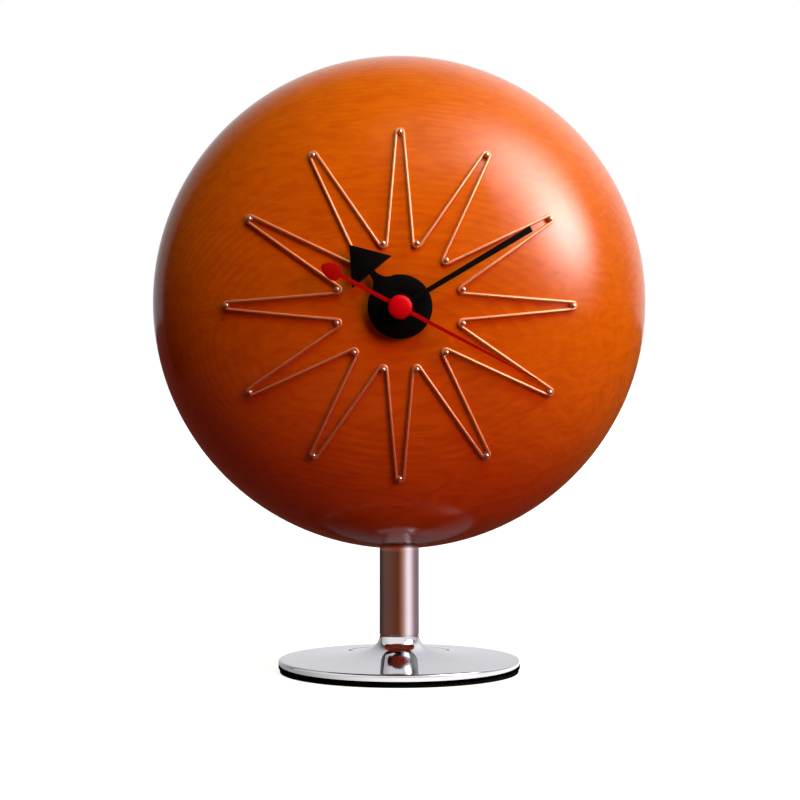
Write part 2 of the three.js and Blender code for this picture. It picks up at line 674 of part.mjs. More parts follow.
function buildTrain() {
  const secondsShaft = rod(
    SECONDS_SHAFT_RADIUS, behind(arborRear), capFloor + CAP_GRIP, SMALL_SIDES);
  const seconds = joined(
    solidOf(secondsShaft),
    wheelSolid(secondsWheel, SECONDS_LAYER),
    wheelSolid(secondsPinion, THIRD_LAYER),
  );
  piece(face, "seconds_wheel", seconds, brass);

  const third = joined(
    arborAt(thirdAxis),
    wheelSolid(thirdWheel, THIRD_LAYER),
    wheelSolid(thirdPinion, CENTRE_LAYER),
  );
  piece(face, "third_wheel", third, brass);

  const intermediate = joined(
    arborAt(intermediateAxis),
    wheelSolid(intermediateWheel, ROTOR_LAYER),
    wheelSolid(intermediatePinion, SECONDS_LAYER),
  );
  piece(face, "intermediate_wheel", intermediate, whitePlastic);

  const magnetNear = ROTOR_LAYER[1] + MAGNET_GAP;
  const magnet = rodBehind(MAGNET_RADIUS, magnetNear, magnetNear + MAGNET_THICKNESS, TUBE_SIDES);
  const rotor = joined(
    arborAt(rotorAxis),
    wheelSolid(rotorPinion, ROTOR_LAYER),
    solidOf(rodBehind(ROTOR_HUB_RADIUS, ROTOR_LAYER[0], magnetNear + MAGNET_GAP)
      .translate(rotorAxis.x, rotorAxis.y, 0)),
    solidOf(magnet.translate(rotorAxis.x, rotorAxis.y, 0)),
  );
  piece(face, "rotor", rotor, steel);

  // The centre wheel grips the minute arbor through a slipping fit
  const arborHole = solidOf(rodBehind(minuteRadius + HAND_FIT, 0, caseDepth, TUBE_SIDES));
  piece(face, "centre_wheel", cut(wheelSolid(centreWheel, CENTRE_LAYER), arborHole), brass);

  const minuteRear = CENTRE_LAYER[1] + SEAT_GAP;
  const minuteFront = minuteHandFloor + HAND_THICKNESS + SHAFT_PROUD;
  const minuteArbor = cut(
    joined(
      solidOf(rod(minuteRadius, behind(minuteRear), minuteFront, TUBE_SIDES)),
      wheelSolid(cannonPinion, MOTION_LAYER),
    ),
    solidOf(rod(minuteBore, behind(caseDepth), minuteFront + CAP_HEIGHT, SMALL_SIDES)),
  );
  piece(face, "minute_arbor", minuteArbor, brass);

  const hourFront = hourHandFloor + HAND_THICKNESS + SHAFT_PROUD;
  const hour = cut(
    joined(
      solidOf(rod(hourRadius, behind(HOUR_LAYER[1]), hourFront, TUBE_SIDES)),
      wheelSolid(hourWheel, HOUR_LAYER),
    ),
    solidOf(rod(hourBore, behind(caseDepth), hourFront + CAP_HEIGHT, TUBE_SIDES)),
  );
  piece(face, "hour_wheel", hour, whitePlastic);

  const studHole = solidOf(
    rodBehind(STUD_RADIUS + RUNNING_GAP, 0, caseDepth).translate(reductionAxis.x, reductionAxis.y, 0));
  const reduction = cut(
    joined(
      wheelSolid(reductionWheel, MOTION_LAYER),
      wheelSolid(reductionPinion, [HOUR_LAYER[0], MOTION_LAYER[1]]),
    ),
    studHole,
  );
  piece(face, "reduction_wheel", reduction, whitePlastic);

  const knobNear = caseDepth + RUNNING_GAP;
  const knob = joined(
    arborAt(knobAxis, arborFront, MOTION_LAYER[1]),
    wheelSolid(knobGear, MOTION_LAYER),
    solidOf(rodBehind(KNOB_SHAFT_RADIUS, MOTION_LAYER[0], knobNear + KNOB_THICKNESS)
      .translate(knobAxis.x, knobAxis.y, 0)),
    solidOf(plate(ribbedOutline(), behind(knobNear + KNOB_THICKNESS), behind(knobNear))
      .translate(knobAxis.x, knobAxis.y, 0)),
  );
  piece(face, "setting_knob", knob, whitePlastic);
}

// A round outline with shallow grip ribs
function ribbedOutline() {
  const points = Array.from({ length: 2 * KNOB_RIBS }, (_, i) =>
    polar(KNOB_RADIUS - (i % 2) * KNOB_RIB_DEPTH, (i * 180) / KNOB_RIBS));
  return new THREE.Shape(points);
}

// The case: a front half with the threaded bushing, and a rear half with the battery well
function roundedSquare(half, corner) {
  const inner = half - corner;
  const shape = new THREE.Shape();
  shape.absarc(inner, inner, corner, 0, RIGHT_ANGLE);
  shape.absarc(-inner, inner, corner, RIGHT_ANGLE, 2 * RIGHT_ANGLE);
  shape.absarc(-inner, -inner, corner, 2 * RIGHT_ANGLE, 3 * RIGHT_ANGLE);
  shape.absarc(inner, -inner, corner, 3 * RIGHT_ANGLE, 4 * RIGHT_ANGLE);
  return shape;
}

function buildMovement() {
  const outline = roundedSquare(caseHalf, CASE_CORNER);
  const hollow = roundedSquare(caseInside, CASE_CORNER - CASE_WALL);
  const slab = (shape, near, far) => solidOf(plate(shape, behind(far), behind(near)));
  const partition = (near, far) =>
    solidOf(block(-caseInside - SEAT_GAP, caseInside + SEAT_GAP,
      partitionBottom, partitionBottom + PARTITION, behind(far), behind(near)));
  const pivot = (at, near, far) =>
    solidOf(rodBehind(ARBOR_RADIUS + PIVOT_FIT, near, far).translate(at.x, at.y, 0));

  const frontPivots = [thirdAxis, intermediateAxis, rotorAxis, knobAxis].map((at) =>
    pivot(at, CASE_WALL - PIVOT_DEPTH, CASE_WALL + PIVOT_DEPTH));
  const stud = rodBehind(STUD_RADIUS, CASE_WALL / 2, MOTION_LAYER[1] + SEAT_GAP)
    .translate(reductionAxis.x, reductionAxis.y, 0);
  const frontCase = cut(
    joined(
      cut(slab(outline, 0, CASE_SPLIT), slab(hollow, CASE_WALL, caseDepth)),
      partition(CASE_WALL / 2, CASE_SPLIT),
      solidOf(stud),
      solidOf(rod(BUSHING_RADIUS, behind(CASE_WALL / 2), bushingEnd, TUBE_SIDES)),
    ),
    solidOf(rod(bushingBore, behind(caseDepth), bushingEnd + BUSHING_PROUD, TUBE_SIDES)),
    ...frontPivots,
  );
  piece(face, "movement_front_case", frontCase, blackPlastic);

  const rearPivots = [thirdAxis, intermediateAxis, rotorAxis, origin].map((at) =>
    pivot(at, rearWall - PIVOT_DEPTH, rearWall + PIVOT_DEPTH));
  const rearFrom = CASE_SPLIT + RUNNING_GAP;
  const belowPartition = solidOf(block(-caseHalf, caseHalf, -caseHalf, partitionBottom,
    behind(caseDepth + CASE_WALL), behind(0)));
  const batteryMouth = slab(hollow, rearFrom, caseDepth + CASE_WALL).intersect(belowPartition);
  const knobHole = solidOf(
    rodBehind(KNOB_SHAFT_RADIUS + RUNNING_GAP, rearFrom, caseDepth + CASE_WALL, TUBE_SIDES)
      .translate(knobAxis.x, knobAxis.y, 0));
  const rearShell = cut(slab(outline, rearFrom, caseDepth), slab(hollow, 0, rearWall));
  const rearCase = cut(
    joined(
      cut(rearShell, batteryMouth),
      partition(rearFrom, rearWall + CASE_WALL / 2),
      ...statorPosts(),
    ),
    knobHole,
    ...rearPivots,
  );
  piece(face, "movement_rear_case", rearCase, blackPlastic);

  const gasket = ring(GASKET_RADIUS, bushingHole, caseFront + SEAT_GAP, bayFloor - SEAT_GAP, TUBE_SIDES);
  piece(face, "mounting_gasket", solidOf(gasket), rubber);
  const washerFloor = counterboreFloor + SEAT_GAP;
  const washerTop = washerFloor + WASHER_THICKNESS;
  const washer = ring(WASHER_RADIUS, bushingHole, washerFloor, washerTop, TUBE_SIDES);
  piece(face, "mounting_washer", solidOf(washer), steel);
  const nutFloor = washerTop + SEAT_GAP;
  const nut = cut(
    solidOf(plate(hexagon(NUT_FLATS), nutFloor, nutFloor + NUT_HEIGHT)),
    solidOf(rod(bushingHole, nutFloor - NUT_HEIGHT, nutFloor + 2 * NUT_HEIGHT, TUBE_SIDES)),
  );
  piece(face, "mounting_nut", nut, brass);
}

// The stepping motor: stator plate with two arms, and the coil between the arms
const statorNear = ROTOR_LAYER[1] + MAGNET_GAP + (MAGNET_THICKNESS - STATOR_THICKNESS) / 2;
const statorFar = statorNear + STATOR_THICKNESS;
const statorHole = MAGNET_RADIUS + MAGNET_GAP;
const statorTop = rotorAxis.y + statorHole + STATOR_RIM;
const statorBottom = rotorAxis.y - statorHole - STATOR_RIM;
const coilHeight = statorTop + SEAT_GAP + COIL_FLANGE_RADIUS;

function statorPosts() {
  const middle = (statorTop + statorBottom) / 2;
  const places = [-STATOR_LEFT + STATOR_ARM / 2, STATOR_RIGHT - STATOR_ARM / 2];
  return places.map((x) =>
    solidOf(rodBehind(STATOR_POST_RADIUS, statorFar + SEAT_GAP, rearWall + CASE_WALL / 2)
      .translate(x, middle, 0)));
}

function buildMotor() {
  const armTop = coilHeight + COIL_FLANGE_RADIUS;
  const plateShape = new THREE.Shape([
    new THREE.Vector2(-STATOR_LEFT, statorBottom),
    new THREE.Vector2(STATOR_RIGHT, statorBottom),
    new THREE.Vector2(STATOR_RIGHT, armTop),
    new THREE.Vector2(STATOR_RIGHT - STATOR_ARM, armTop),
    new THREE.Vector2(STATOR_RIGHT - STATOR_ARM, statorTop),
    new THREE.Vector2(-STATOR_LEFT + STATOR_ARM, statorTop),
    new THREE.Vector2(-STATOR_LEFT + STATOR_ARM, armTop),
    new THREE.Vector2(-STATOR_LEFT, armTop),
  ]);
  const bore = rodBehind(statorHole, 0, caseDepth, TUBE_SIDES).translate(rotorAxis.x, rotorAxis.y, 0);
  const stator = cut(solidOf(plate(plateShape, behind(statorFar), behind(statorNear))), solidOf(bore));
  piece(face, "stator", stator, steel);

  const left = -STATOR_LEFT + STATOR_ARM + SEAT_GAP;
  const right = STATOR_RIGHT - STATOR_ARM - SEAT_GAP;
  const coilSection = [
    [0, left],
    [COIL_FLANGE_RADIUS, left],
    [COIL_FLANGE_RADIUS, left + COIL_FLANGE],
    [COIL_RADIUS, left + COIL_FLANGE],
    [COIL_RADIUS, right - COIL_FLANGE],
    [COIL_FLANGE_RADIUS, right - COIL_FLANGE],
    [COIL_FLANGE_RADIUS, right],
    [0, right],
  ];
  const coil = turned(coilSection, SMALL_SIDES).rotateY(RIGHT_ANGLE);
  coil.translate(0, coilHeight, behind((statorNear + statorFar) / 2));
  piece(face, "coil", solidOf(coil), copper);

  const boardLeft = -caseInside + SEAT_GAP;
  const boardFloor = behind(rearWall - SEAT_GAP);
  const boardBottom = partitionBottom + PARTITION + SEAT_GAP;
  const board = block(boardLeft, boardLeft + BOARD_WIDTH, boardBottom, boardBottom + BOARD_LENGTH,
    boardFloor, boardFloor + BOARD_THICKNESS);
  piece(face, "circuit_board", solidOf(board), boardGreen);
}

// The battery lies across the case below the wheels, with a contact at each end
function buildBattery() {
  const end = BATTERY_LENGTH / 2;
  const shoulder = end - BATTERY_NUB_LENGTH;
  const section = [
    [0, -end],
    [BATTERY_RADIUS - BATTERY_EDGE, -end],
    [BATTERY_RADIUS, -end + BATTERY_EDGE],
    [BATTERY_RADIUS, shoulder - BATTERY_EDGE],
    [BATTERY_RADIUS - BATTERY_EDGE, shoulder],
    [BATTERY_NUB_RADIUS, shoulder],
    [BATTERY_NUB_RADIUS, end],
    [0, end],
  ];
  const battery = turned(section, TUBE_SIDES).rotateY(RIGHT_ANGLE);
  piece(face, "battery", solidOf(battery.translate(0, batteryHeight, behind(batteryDepth))), batteryWrap);

  const wall = caseInside - SEAT_GAP;
  const spring = wall - CONTACT_THICKNESS;
  const half = CONTACT_WIDTH / 2;
  const contact = (bumpWidth) => {
    const bumpHalf = bumpWidth / 2;
    return joined(
      solidOf(block(spring, wall, batteryHeight - half, batteryHeight + half,
        behind(batteryDepth + half), behind(batteryDepth - half))),
      solidOf(block(spring - CONTACT_BUMP, wall - CONTACT_THICKNESS / 2,
        batteryHeight - bumpHalf, batteryHeight + bumpHalf,
        behind(batteryDepth + bumpHalf), behind(batteryDepth - bumpHalf))),
    );
  };
  const turnRound = new THREE.Matrix4().makeRotationZ(Math.PI);
  turnRound.setPosition(0, 2 * batteryHeight, 0);
  const negative = solidOf(geometryOf(contact(NEGATIVE_BUMP_WIDTH)).applyMatrix4(turnRound));
  piece(face, "battery_contact_positive", contact(POSITIVE_BUMP_WIDTH), steel);
  piece(face, "battery_contact_negative", negative, steel);
}

// The hands, drawn pointing to twelve and then turned to the time
function hand(shape, floor, thickness, bore, angle) {
  const flat = cut(
    solidOf(plate(shape, floor, floor + thickness, 2 * CORNER_STEPS)),
    solidOf(rod(bore, floor - thickness, floor + 2 * thickness, TUBE_SIDES)),
  );
  return solidOf(geometryOf(flat).rotateZ(-THREE.MathUtils.degToRad(angle)));
}

function buildHands() {
  const hub = polar(HOUR_HUB_RADIUS, 90 - HOUR_FILLET_ANGLE);
  const neck = HOUR_NECK_WIDTH / 2;
  const hourShape = new THREE.Shape();
  hourShape.moveTo(0, HOUR_HAND_LENGTH);
  hourShape.lineTo(-HOUR_ARROW_WIDTH / 2, HOUR_NECK_RADIUS);
  hourShape.lineTo(-neck, HOUR_NECK_RADIUS);
  hourShape.quadraticCurveTo(-neck, HOUR_HUB_RADIUS + HOUR_FILLET_PULL, -hub.x, hub.y);
  hourShape.absarc(0, 0, HOUR_HUB_RADIUS, Math.PI - hub.angle(), FULL_TURN + hub.angle());
  hourShape.quadraticCurveTo(neck, HOUR_HUB_RADIUS + HOUR_FILLET_PULL, neck, HOUR_NECK_RADIUS);
  hourShape.lineTo(HOUR_ARROW_WIDTH / 2, HOUR_NECK_RADIUS);
  const hourHand = hand(
    hourShape, hourHandFloor, HAND_THICKNESS, hourRadius + HAND_FIT, HOUR_HAND_ANGLE);
  piece(face, "hour_hand", hourHand, blackPaint);

  const barHalf = MINUTE_HUB_WIDTH / 2;
  const barFoot = Math.acos(barHalf / MINUTE_HUB_RADIUS);
  const minuteShape = new THREE.Shape();
  minuteShape.moveTo(MINUTE_TIP_WIDTH / 2, MINUTE_HAND_LENGTH);
  minuteShape.lineTo(-MINUTE_TIP_WIDTH / 2, MINUTE_HAND_LENGTH);
  minuteShape.absarc(0, 0, MINUTE_HUB_RADIUS, Math.PI - barFoot, FULL_TURN + barFoot);
  const minuteHand = hand(
    minuteShape, minuteHandFloor, HAND_THICKNESS, minuteRadius + HAND_FIT, MINUTE_HAND_ANGLE);
  piece(face, "minute_hand", minuteHand, blackPaint);

  const needleFoot = Math.acos(SECOND_HUB_WIDTH / 2 / SECOND_HUB_RADIUS);
  const tailHalf = TAIL_WIDTH / 2;
  const tailFoot = Math.acos(tailHalf / SECOND_HUB_RADIUS);
  const paddle = TAIL_PADDLE_WIDTH / 2;
  const shoulder = -TAIL_BAR_LENGTH - TAIL_SHOULDER;
  const secondShape = new THREE.Shape();
  secondShape.moveTo(SECOND_TIP_WIDTH / 2, SECOND_HAND_LENGTH);
  secondShape.lineTo(-SECOND_TIP_WIDTH / 2, SECOND_HAND_LENGTH);
  secondShape.absarc(0, 0, SECOND_HUB_RADIUS, Math.PI - needleFoot, Math.PI + tailFoot);
  secondShape.lineTo(-tailHalf, -TAIL_BAR_LENGTH);
  secondShape.quadraticCurveTo(-paddle, -TAIL_BAR_LENGTH, -paddle, shoulder);
  secondShape.quadraticCurveTo(-paddle, shoulder - TAIL_SHOULDER, 0, -TAIL_LENGTH);
  secondShape.quadraticCurveTo(paddle, shoulder - TAIL_SHOULDER, paddle, shoulder);
  secondShape.quadraticCurveTo(paddle, -TAIL_BAR_LENGTH, tailHalf, -TAIL_BAR_LENGTH);
  secondShape.absarc(0, 0, SECOND_HUB_RADIUS, FULL_TURN - tailFoot, FULL_TURN + needleFoot);
  const secondHand = hand(
    secondShape, secondHandFloor, SECOND_HAND_THICKNESS, SECONDS_SHAFT_RADIUS + HAND_FIT,
    SECOND_HAND_ANGLE);
  piece(face, "second_hand", secondHand, redPaint);

  const capSide = capFloor + CAP_SIDE_HEIGHT;
  const capTop = capFloor + CAP_HEIGHT;
  const crown = new THREE.EllipseCurve(0, capSide, CAP_RADIUS, capTop - capSide, 0, RIGHT_ANGLE);
  const crownPoints = crown.getPoints(CORNER_STEPS + 1).map((point) => [point.x, point.y]);
  const bore = SECONDS_SHAFT_RADIUS + HAND_FIT;
  const boreTop = capFloor + CAP_GRIP + SEAT_GAP;
  const capSection = [
    [bore, capFloor],
    [CAP_RADIUS, capFloor],
    ...crownPoints.slice(0, -1),
    [0, capTop],
    [0, boreTop],
    [bore, boreTop],
    [bore, capFloor],
  ];
  piece(face, "second_hand_cap", solidOf(turned(capSection, TUBE_SIDES)), redPaint);
}

buildStand();
buildBody();
buildDial();
buildTrain();
buildMovement();
buildMotor();
buildBattery();
buildHands();

export default clock;
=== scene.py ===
"""Dresses a table clock: a lacquered wooden lens on a chrome stand, with a star of bent wire for a dial.

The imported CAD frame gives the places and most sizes. Lengths are in metres and angles in radians.
"""

import json
from math import acos, asin, atan2, cos, hypot, pi, radians, sin, sqrt, tau

import bmesh
import bpy
from bpy.props import FloatProperty, FloatVectorProperty, IntProperty, PointerProperty
from mathutils import Matrix, Vector

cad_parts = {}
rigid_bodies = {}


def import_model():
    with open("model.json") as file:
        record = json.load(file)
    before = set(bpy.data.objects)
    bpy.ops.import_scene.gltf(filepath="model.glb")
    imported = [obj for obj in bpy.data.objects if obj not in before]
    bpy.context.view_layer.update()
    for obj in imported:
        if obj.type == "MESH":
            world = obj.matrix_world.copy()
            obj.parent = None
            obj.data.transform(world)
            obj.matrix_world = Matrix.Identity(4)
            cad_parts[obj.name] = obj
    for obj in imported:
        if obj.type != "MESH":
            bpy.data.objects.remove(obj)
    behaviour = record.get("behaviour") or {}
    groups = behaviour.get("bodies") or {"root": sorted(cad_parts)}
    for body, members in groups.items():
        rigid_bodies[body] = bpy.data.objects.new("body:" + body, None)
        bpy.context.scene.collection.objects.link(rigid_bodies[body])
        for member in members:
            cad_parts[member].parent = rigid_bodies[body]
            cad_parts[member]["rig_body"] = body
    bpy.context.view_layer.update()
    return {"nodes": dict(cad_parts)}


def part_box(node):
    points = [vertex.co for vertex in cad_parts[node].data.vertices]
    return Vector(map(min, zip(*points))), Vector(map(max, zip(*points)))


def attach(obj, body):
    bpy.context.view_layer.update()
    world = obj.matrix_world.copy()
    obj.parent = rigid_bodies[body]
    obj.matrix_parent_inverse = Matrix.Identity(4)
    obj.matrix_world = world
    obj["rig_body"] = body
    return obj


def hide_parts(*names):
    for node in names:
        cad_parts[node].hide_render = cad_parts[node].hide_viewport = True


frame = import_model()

bl_info = {
    "name": "Lens Table Clock",
    "version": (1, 0, 0),
    "blender": (4, 5, 0),
    "location": "3D View > Sidebar > Clock",
    "description": "Models a wooden lens clock with a wire star over its packed CAD frame",
    "category": "Object",
}

MM = 0.001
MERGE_DISTANCE = 0.001 * MM
FLAT_ANGLE = radians(0.5)
# Faces that meet more sharply than this, in degrees, keep a hard edge: on plain pieces, and on softened ones
SHARP_ANGLE = 35
CRISP_ANGLE = 25
ROUND_STEPS = 5
HAND_ROUND_STEPS = 8
BORE_SIDES = 32
HOURS = 12

# Places that the frame gives
FRONT_LOW, FRONT_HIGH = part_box("front_shell")
BODY_RADIUS = (FRONT_HIGH.x - FRONT_LOW.x) / 2
CENTRE_HEIGHT = FRONT_HIGH.z - BODY_RADIUS
SEAM = -FRONT_HIGH.y
REAR_RIM = -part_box("rear_shell")[1].y
BASE_LOW, BASE_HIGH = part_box("base_plate")
STEM_LOW, STEM_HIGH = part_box("stem_tube")
PAD_LOW, PAD_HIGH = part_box("foot_pad")
CAP_LOW, CAP_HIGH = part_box("second_hand_cap")
BATTERY_LOW, BATTERY_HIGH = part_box("battery")
CASE_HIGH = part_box("movement_rear_case")[1]
KNOB_LOW, KNOB_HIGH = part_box("setting_knob")
BASE_RADIUS = BASE_HIGH.x
STEM_RADIUS = STEM_HIGH.x
NODE_SLOTS = {node: part.data.materials[0].name for node, part in frame["nodes"].items()}

# What the stem mirrors, by bearing in degrees to the right of the camera
BOARD_BRIGHTNESS = 1.45
BOARD_TONES = (
    (-134, (0.044, 0.023, 0.017)), (-90, (0.113, 0.055, 0.044)), (-60, (0.131, 0.048, 0.034)),
    (-9, (0.110, 0.031, 0.014)), (3, (0.17, 0.06, 0.032)), (15, (0.30, 0.134, 0.094)),
    (28, (0.50, 0.29, 0.25)), (40, (0.78, 0.60, 0.59)), (53, (1, 0.88, 0.86)), (67, (0.90, 0.78, 0.83)),
    (83, (0.59, 0.43, 0.46)), (99, (0.30, 0.20, 0.21)), (121, (0.22, 0.16, 0.16)))

# Boards that only polished faces mirror
BOARD_LIFT = 0.2 * MM
TABLE_RADIUS = 1.6
TABLE_LIFT = 0.1 * MM
TABLE_FADE = (0.055, 0.08)
LIP_RADIUS = 45 * MM
LIP_HEIGHT = 3 * MM
LIP_LEVELS = (0.45, 1.6)
LIP_TONE = (1, 0.98, 0.97)
WALL_RADIUS = 0.3
WALL_FOOT = 13 * MM
BACK_WIDTH = 0.1
BACK_LENGTH = 0.4
BACK_MIDDLE = 0.26
WHITE_FADE = (-0.15, 0.05)
WHITE_LEVELS = (1.2, 0.8)
WHITE_TONE = (1, 0.97, 0.97)
DISC_RADIUS = 23 * MM
DISC_GAP = 0.5 * MM
BROWN_TONE = (0.13, 0.02, 0.011)
SHEET_RADIUS = 1.2
SHEET_LIFT = 0.3 * MM
SHEET_TONE = (0.13, 0.036, 0.026)
# First and last bearing in degrees to the right of the camera, and height
WALLS = {"front_wall": (-115, 35, 0.4), "right_wall": (35, 115, 0.1)}

# The room that polish mirrors, by direction: x right, y back and z up
DOME_RADIUS = 1.5
ROOM_TONE = (0.98, 0.97, 1.0)
SECOND_MIRROR = 0.45
BACKDROP_FADE = (0.25, 0.8)
LEFT_FADE = (-0.68, 0.03)
LEFT_SHARE = 0.52
SOFT_BOX_EDGE = (0, 1, -0.53)
SOFT_BOX_FADE = (-0.41, -0.05)
# Patches of light: middle, sharpness and share of the setting's brightness
BACK_PATCH = ((0.642, 0.368, 0.673), 8.5, 1.27)
SIDE_PATCH = ((0.846, -0.383, 0.371), 38.0, 1.0)
UPPER_PATCH = ((0.636, -0.378, 0.673), 26.0, 0.49)

# The floor is a little less than white near the clock
FLOOR_FADE = (0.08, 0.3)
FLOOR_NEAR = 0.9

# Direction from the body's middle, distance, size, setting of the power, and tone
LAMPS = {
    "key_light": ((0.57, -0.75, 0.34), 1.2, 0.7, "key_power", (1, 0.22, 0.17)),
    "top_light": ((0.20, -0.51, 0.84), 1.4, 0.9, "top_power", (0.92, 1, 0.85)),
    "rim_light": ((0.76, -0.09, 0.64), 1.4, 0.5, "rim_power", (0.9, 1, 0.85)),
    "back_light": ((0.30, 0.92, 0.25), 1.4, 0.8, "back_power", (1, 0.95, 0.9)),
}

# The dial's own frame: x right, y up and z towards the viewer
FACE = Matrix.Translation((0, 0, CENTRE_HEIGHT)) @ Matrix.Rotation(pi / 2, 4, "X")
# The same for the back of the movement's case, seen from behind
CASE_BACK = (
    Matrix.Translation((0, CASE_HIGH.y, 0)) @ Matrix.Rotation(pi, 4, "Z") @ Matrix.Rotation(pi / 2, 4, "X"))


def length(name, description, default):
    return FloatProperty(name=name, description=description, default=default, unit="LENGTH", precision=5)


def colour(name, description, default):
    return FloatVectorProperty(
        name=name, description=description, default=default, subtype="COLOR", min=0, max=1)


def angle(name, description, default):
    return FloatProperty(name=name, description=description, default=radians(default), subtype="ANGLE")


def amount(name, description, default):
    return FloatProperty(name=name, description=description, default=default)


class BodySettings(bpy.types.PropertyGroup):
    """Shape and finish of the turned wooden body."""

    front_depth: length("Front depth", "From the rim to the middle of the dial", 46 * MM)
    back_depth: length("Back depth", "Half axis of the ellipse behind the rim", 38 * MM)
    front_wall: length("Front wall", "Wood between the dial and the bay", 16 * MM)
    lip: length("Lip", "Thickness and length of the lip at the seam", 4 * MM)
    lip_gap: length("Lip gap", "Room between the two halves' lips", 0.15 * MM)
    seam_gap: length("Seam gap", "Width of the seam between the two halves", 0.1 * MM)
    counterbore_radius: length("Counterbore", "Radius of the recess under the hands", 8.2 * MM)
    counterbore_depth: length("Counterbore depth", "Depth of that recess", 2.4 * MM)
    bushing_hole: length("Bushing hole", "Radius of the hole for the movement's bushing", 4.15 * MM)
    rear_round: length("Rear round", "Rounding of the bay's edge", 1.2 * MM)
    fine_round: length("Fine round", "Rounding of the seam and of the recess", 0.25 * MM)
    sides: IntProperty(name="Sides", description="Steps round the body", default=160)
    light_wood: colour("Light wood", "Colour of the early wood", (0.68, 0.178, 0.0014))
    deep_wood: colour("Deep wood", "Colour of the late wood", (0.46, 0.088, 0.0008))
    ring_spacing: length("Ring spacing", "Growth rings of the wood", 1.7 * MM)
    heart_ahead: length("Heart ahead", "From the stem forwards to the middle of the rings", 110 * MM)
    heart_below: length("Heart below", "From the body's middle down to the middle of the rings", 20 * MM)
    lacquer_roughness: amount("Lacquer roughness", "Roughness of the clear lacquer", 0.16)


class StandSettings(bpy.types.PropertyGroup):
    """Shape and finish of the chrome stand."""

    rim_height: length("Rim height", "Height of the foot's edge", 2.8 * MM)
    rim_round: length("Rim round", "Rounding of the foot's upper edge", 0.8 * MM)
    under_round: length("Under round", "Rounding of the foot's lower edge", 0.3 * MM)
    neck_height: length("Neck height", "Height of the flare above the foot's underside", 10.5 * MM)
    neck_step: length("Neck step", "How much slimmer the neck is than the stem", 0.05 * MM)
    neck_pull: length("Neck pull", "How far the flare runs straight down the neck", 5.2 * MM)
    flare_radius: length("Flare radius", "Where the flare starts to rise", 12 * MM)
    flare_rise: length("Flare rise", "Height of the flare there above the rim", 1.1 * MM)
    rim_inset: length("Rim inset", "Flat band inside the foot's edge", 1.5 * MM)
    nut_recess: length("Nut recess", "Radius of the recess under the foot", 6.27 * MM)
    nut_recess_depth: length("Nut recess depth", "Depth of that recess", 5.5 * MM)
    rod_hole: length("Rod hole", "Radius of the hole for the tie rod", 3.15 * MM)
    spigot_radius: length("Spigot radius", "Radius of the spigot inside the stem", 4.85 * MM)
    stem_wall: length("Stem wall", "Wall of the stem", 1 * MM)
    sides: IntProperty(name="Sides", description="Steps round the stand", default=128)
    chrome: colour("Chrome", "Reflection of the chrome plate", (0.64, 0.64, 0.67))


class DialSettings(bpy.types.PropertyGroup):
    """Shape and finish of the star of bent wire and its pins."""

    outer_circle: length("Outer circle", "Radius on which the outer pins stand", 50.4 * MM)
    inner_circle: length("Inner circle", "Radius on which the inner pins stand", 18.8 * MM)
    wire_radius: length("Wire radius", "Radius of the wire", 0.46 * MM)
    wire_height: length("Wire height", "Middle of the wire above the wood", 0.8 * MM)
    wrap_radius: length("Wrap radius", "Middle of the wire round a pin", 1.05 * MM)
    pin_radius: length("Pin radius", "Radius of a pin's shank", 0.5 * MM)
    pin_depth: length("Pin depth", "How far a pin goes into the wood", 6.3 * MM)
    head_floor: length("Head floor", "Underside of a pin's head above the wood", 1.5 * MM)
    head_radius: length("Head radius", "Radius of a pin's domed head", 0.76 * MM)
    head_height: length("Head height", "Height of a pin's domed head", 0.62 * MM)
    # The wire's colour is partly nickel and partly a painted reflection of the orange wood, which warms it
    # orange-pink.
    nickel_with_painted_reflection: colour("Nickel", "Reflection of the nickel wire", (0.93, 0.44, 0.215))


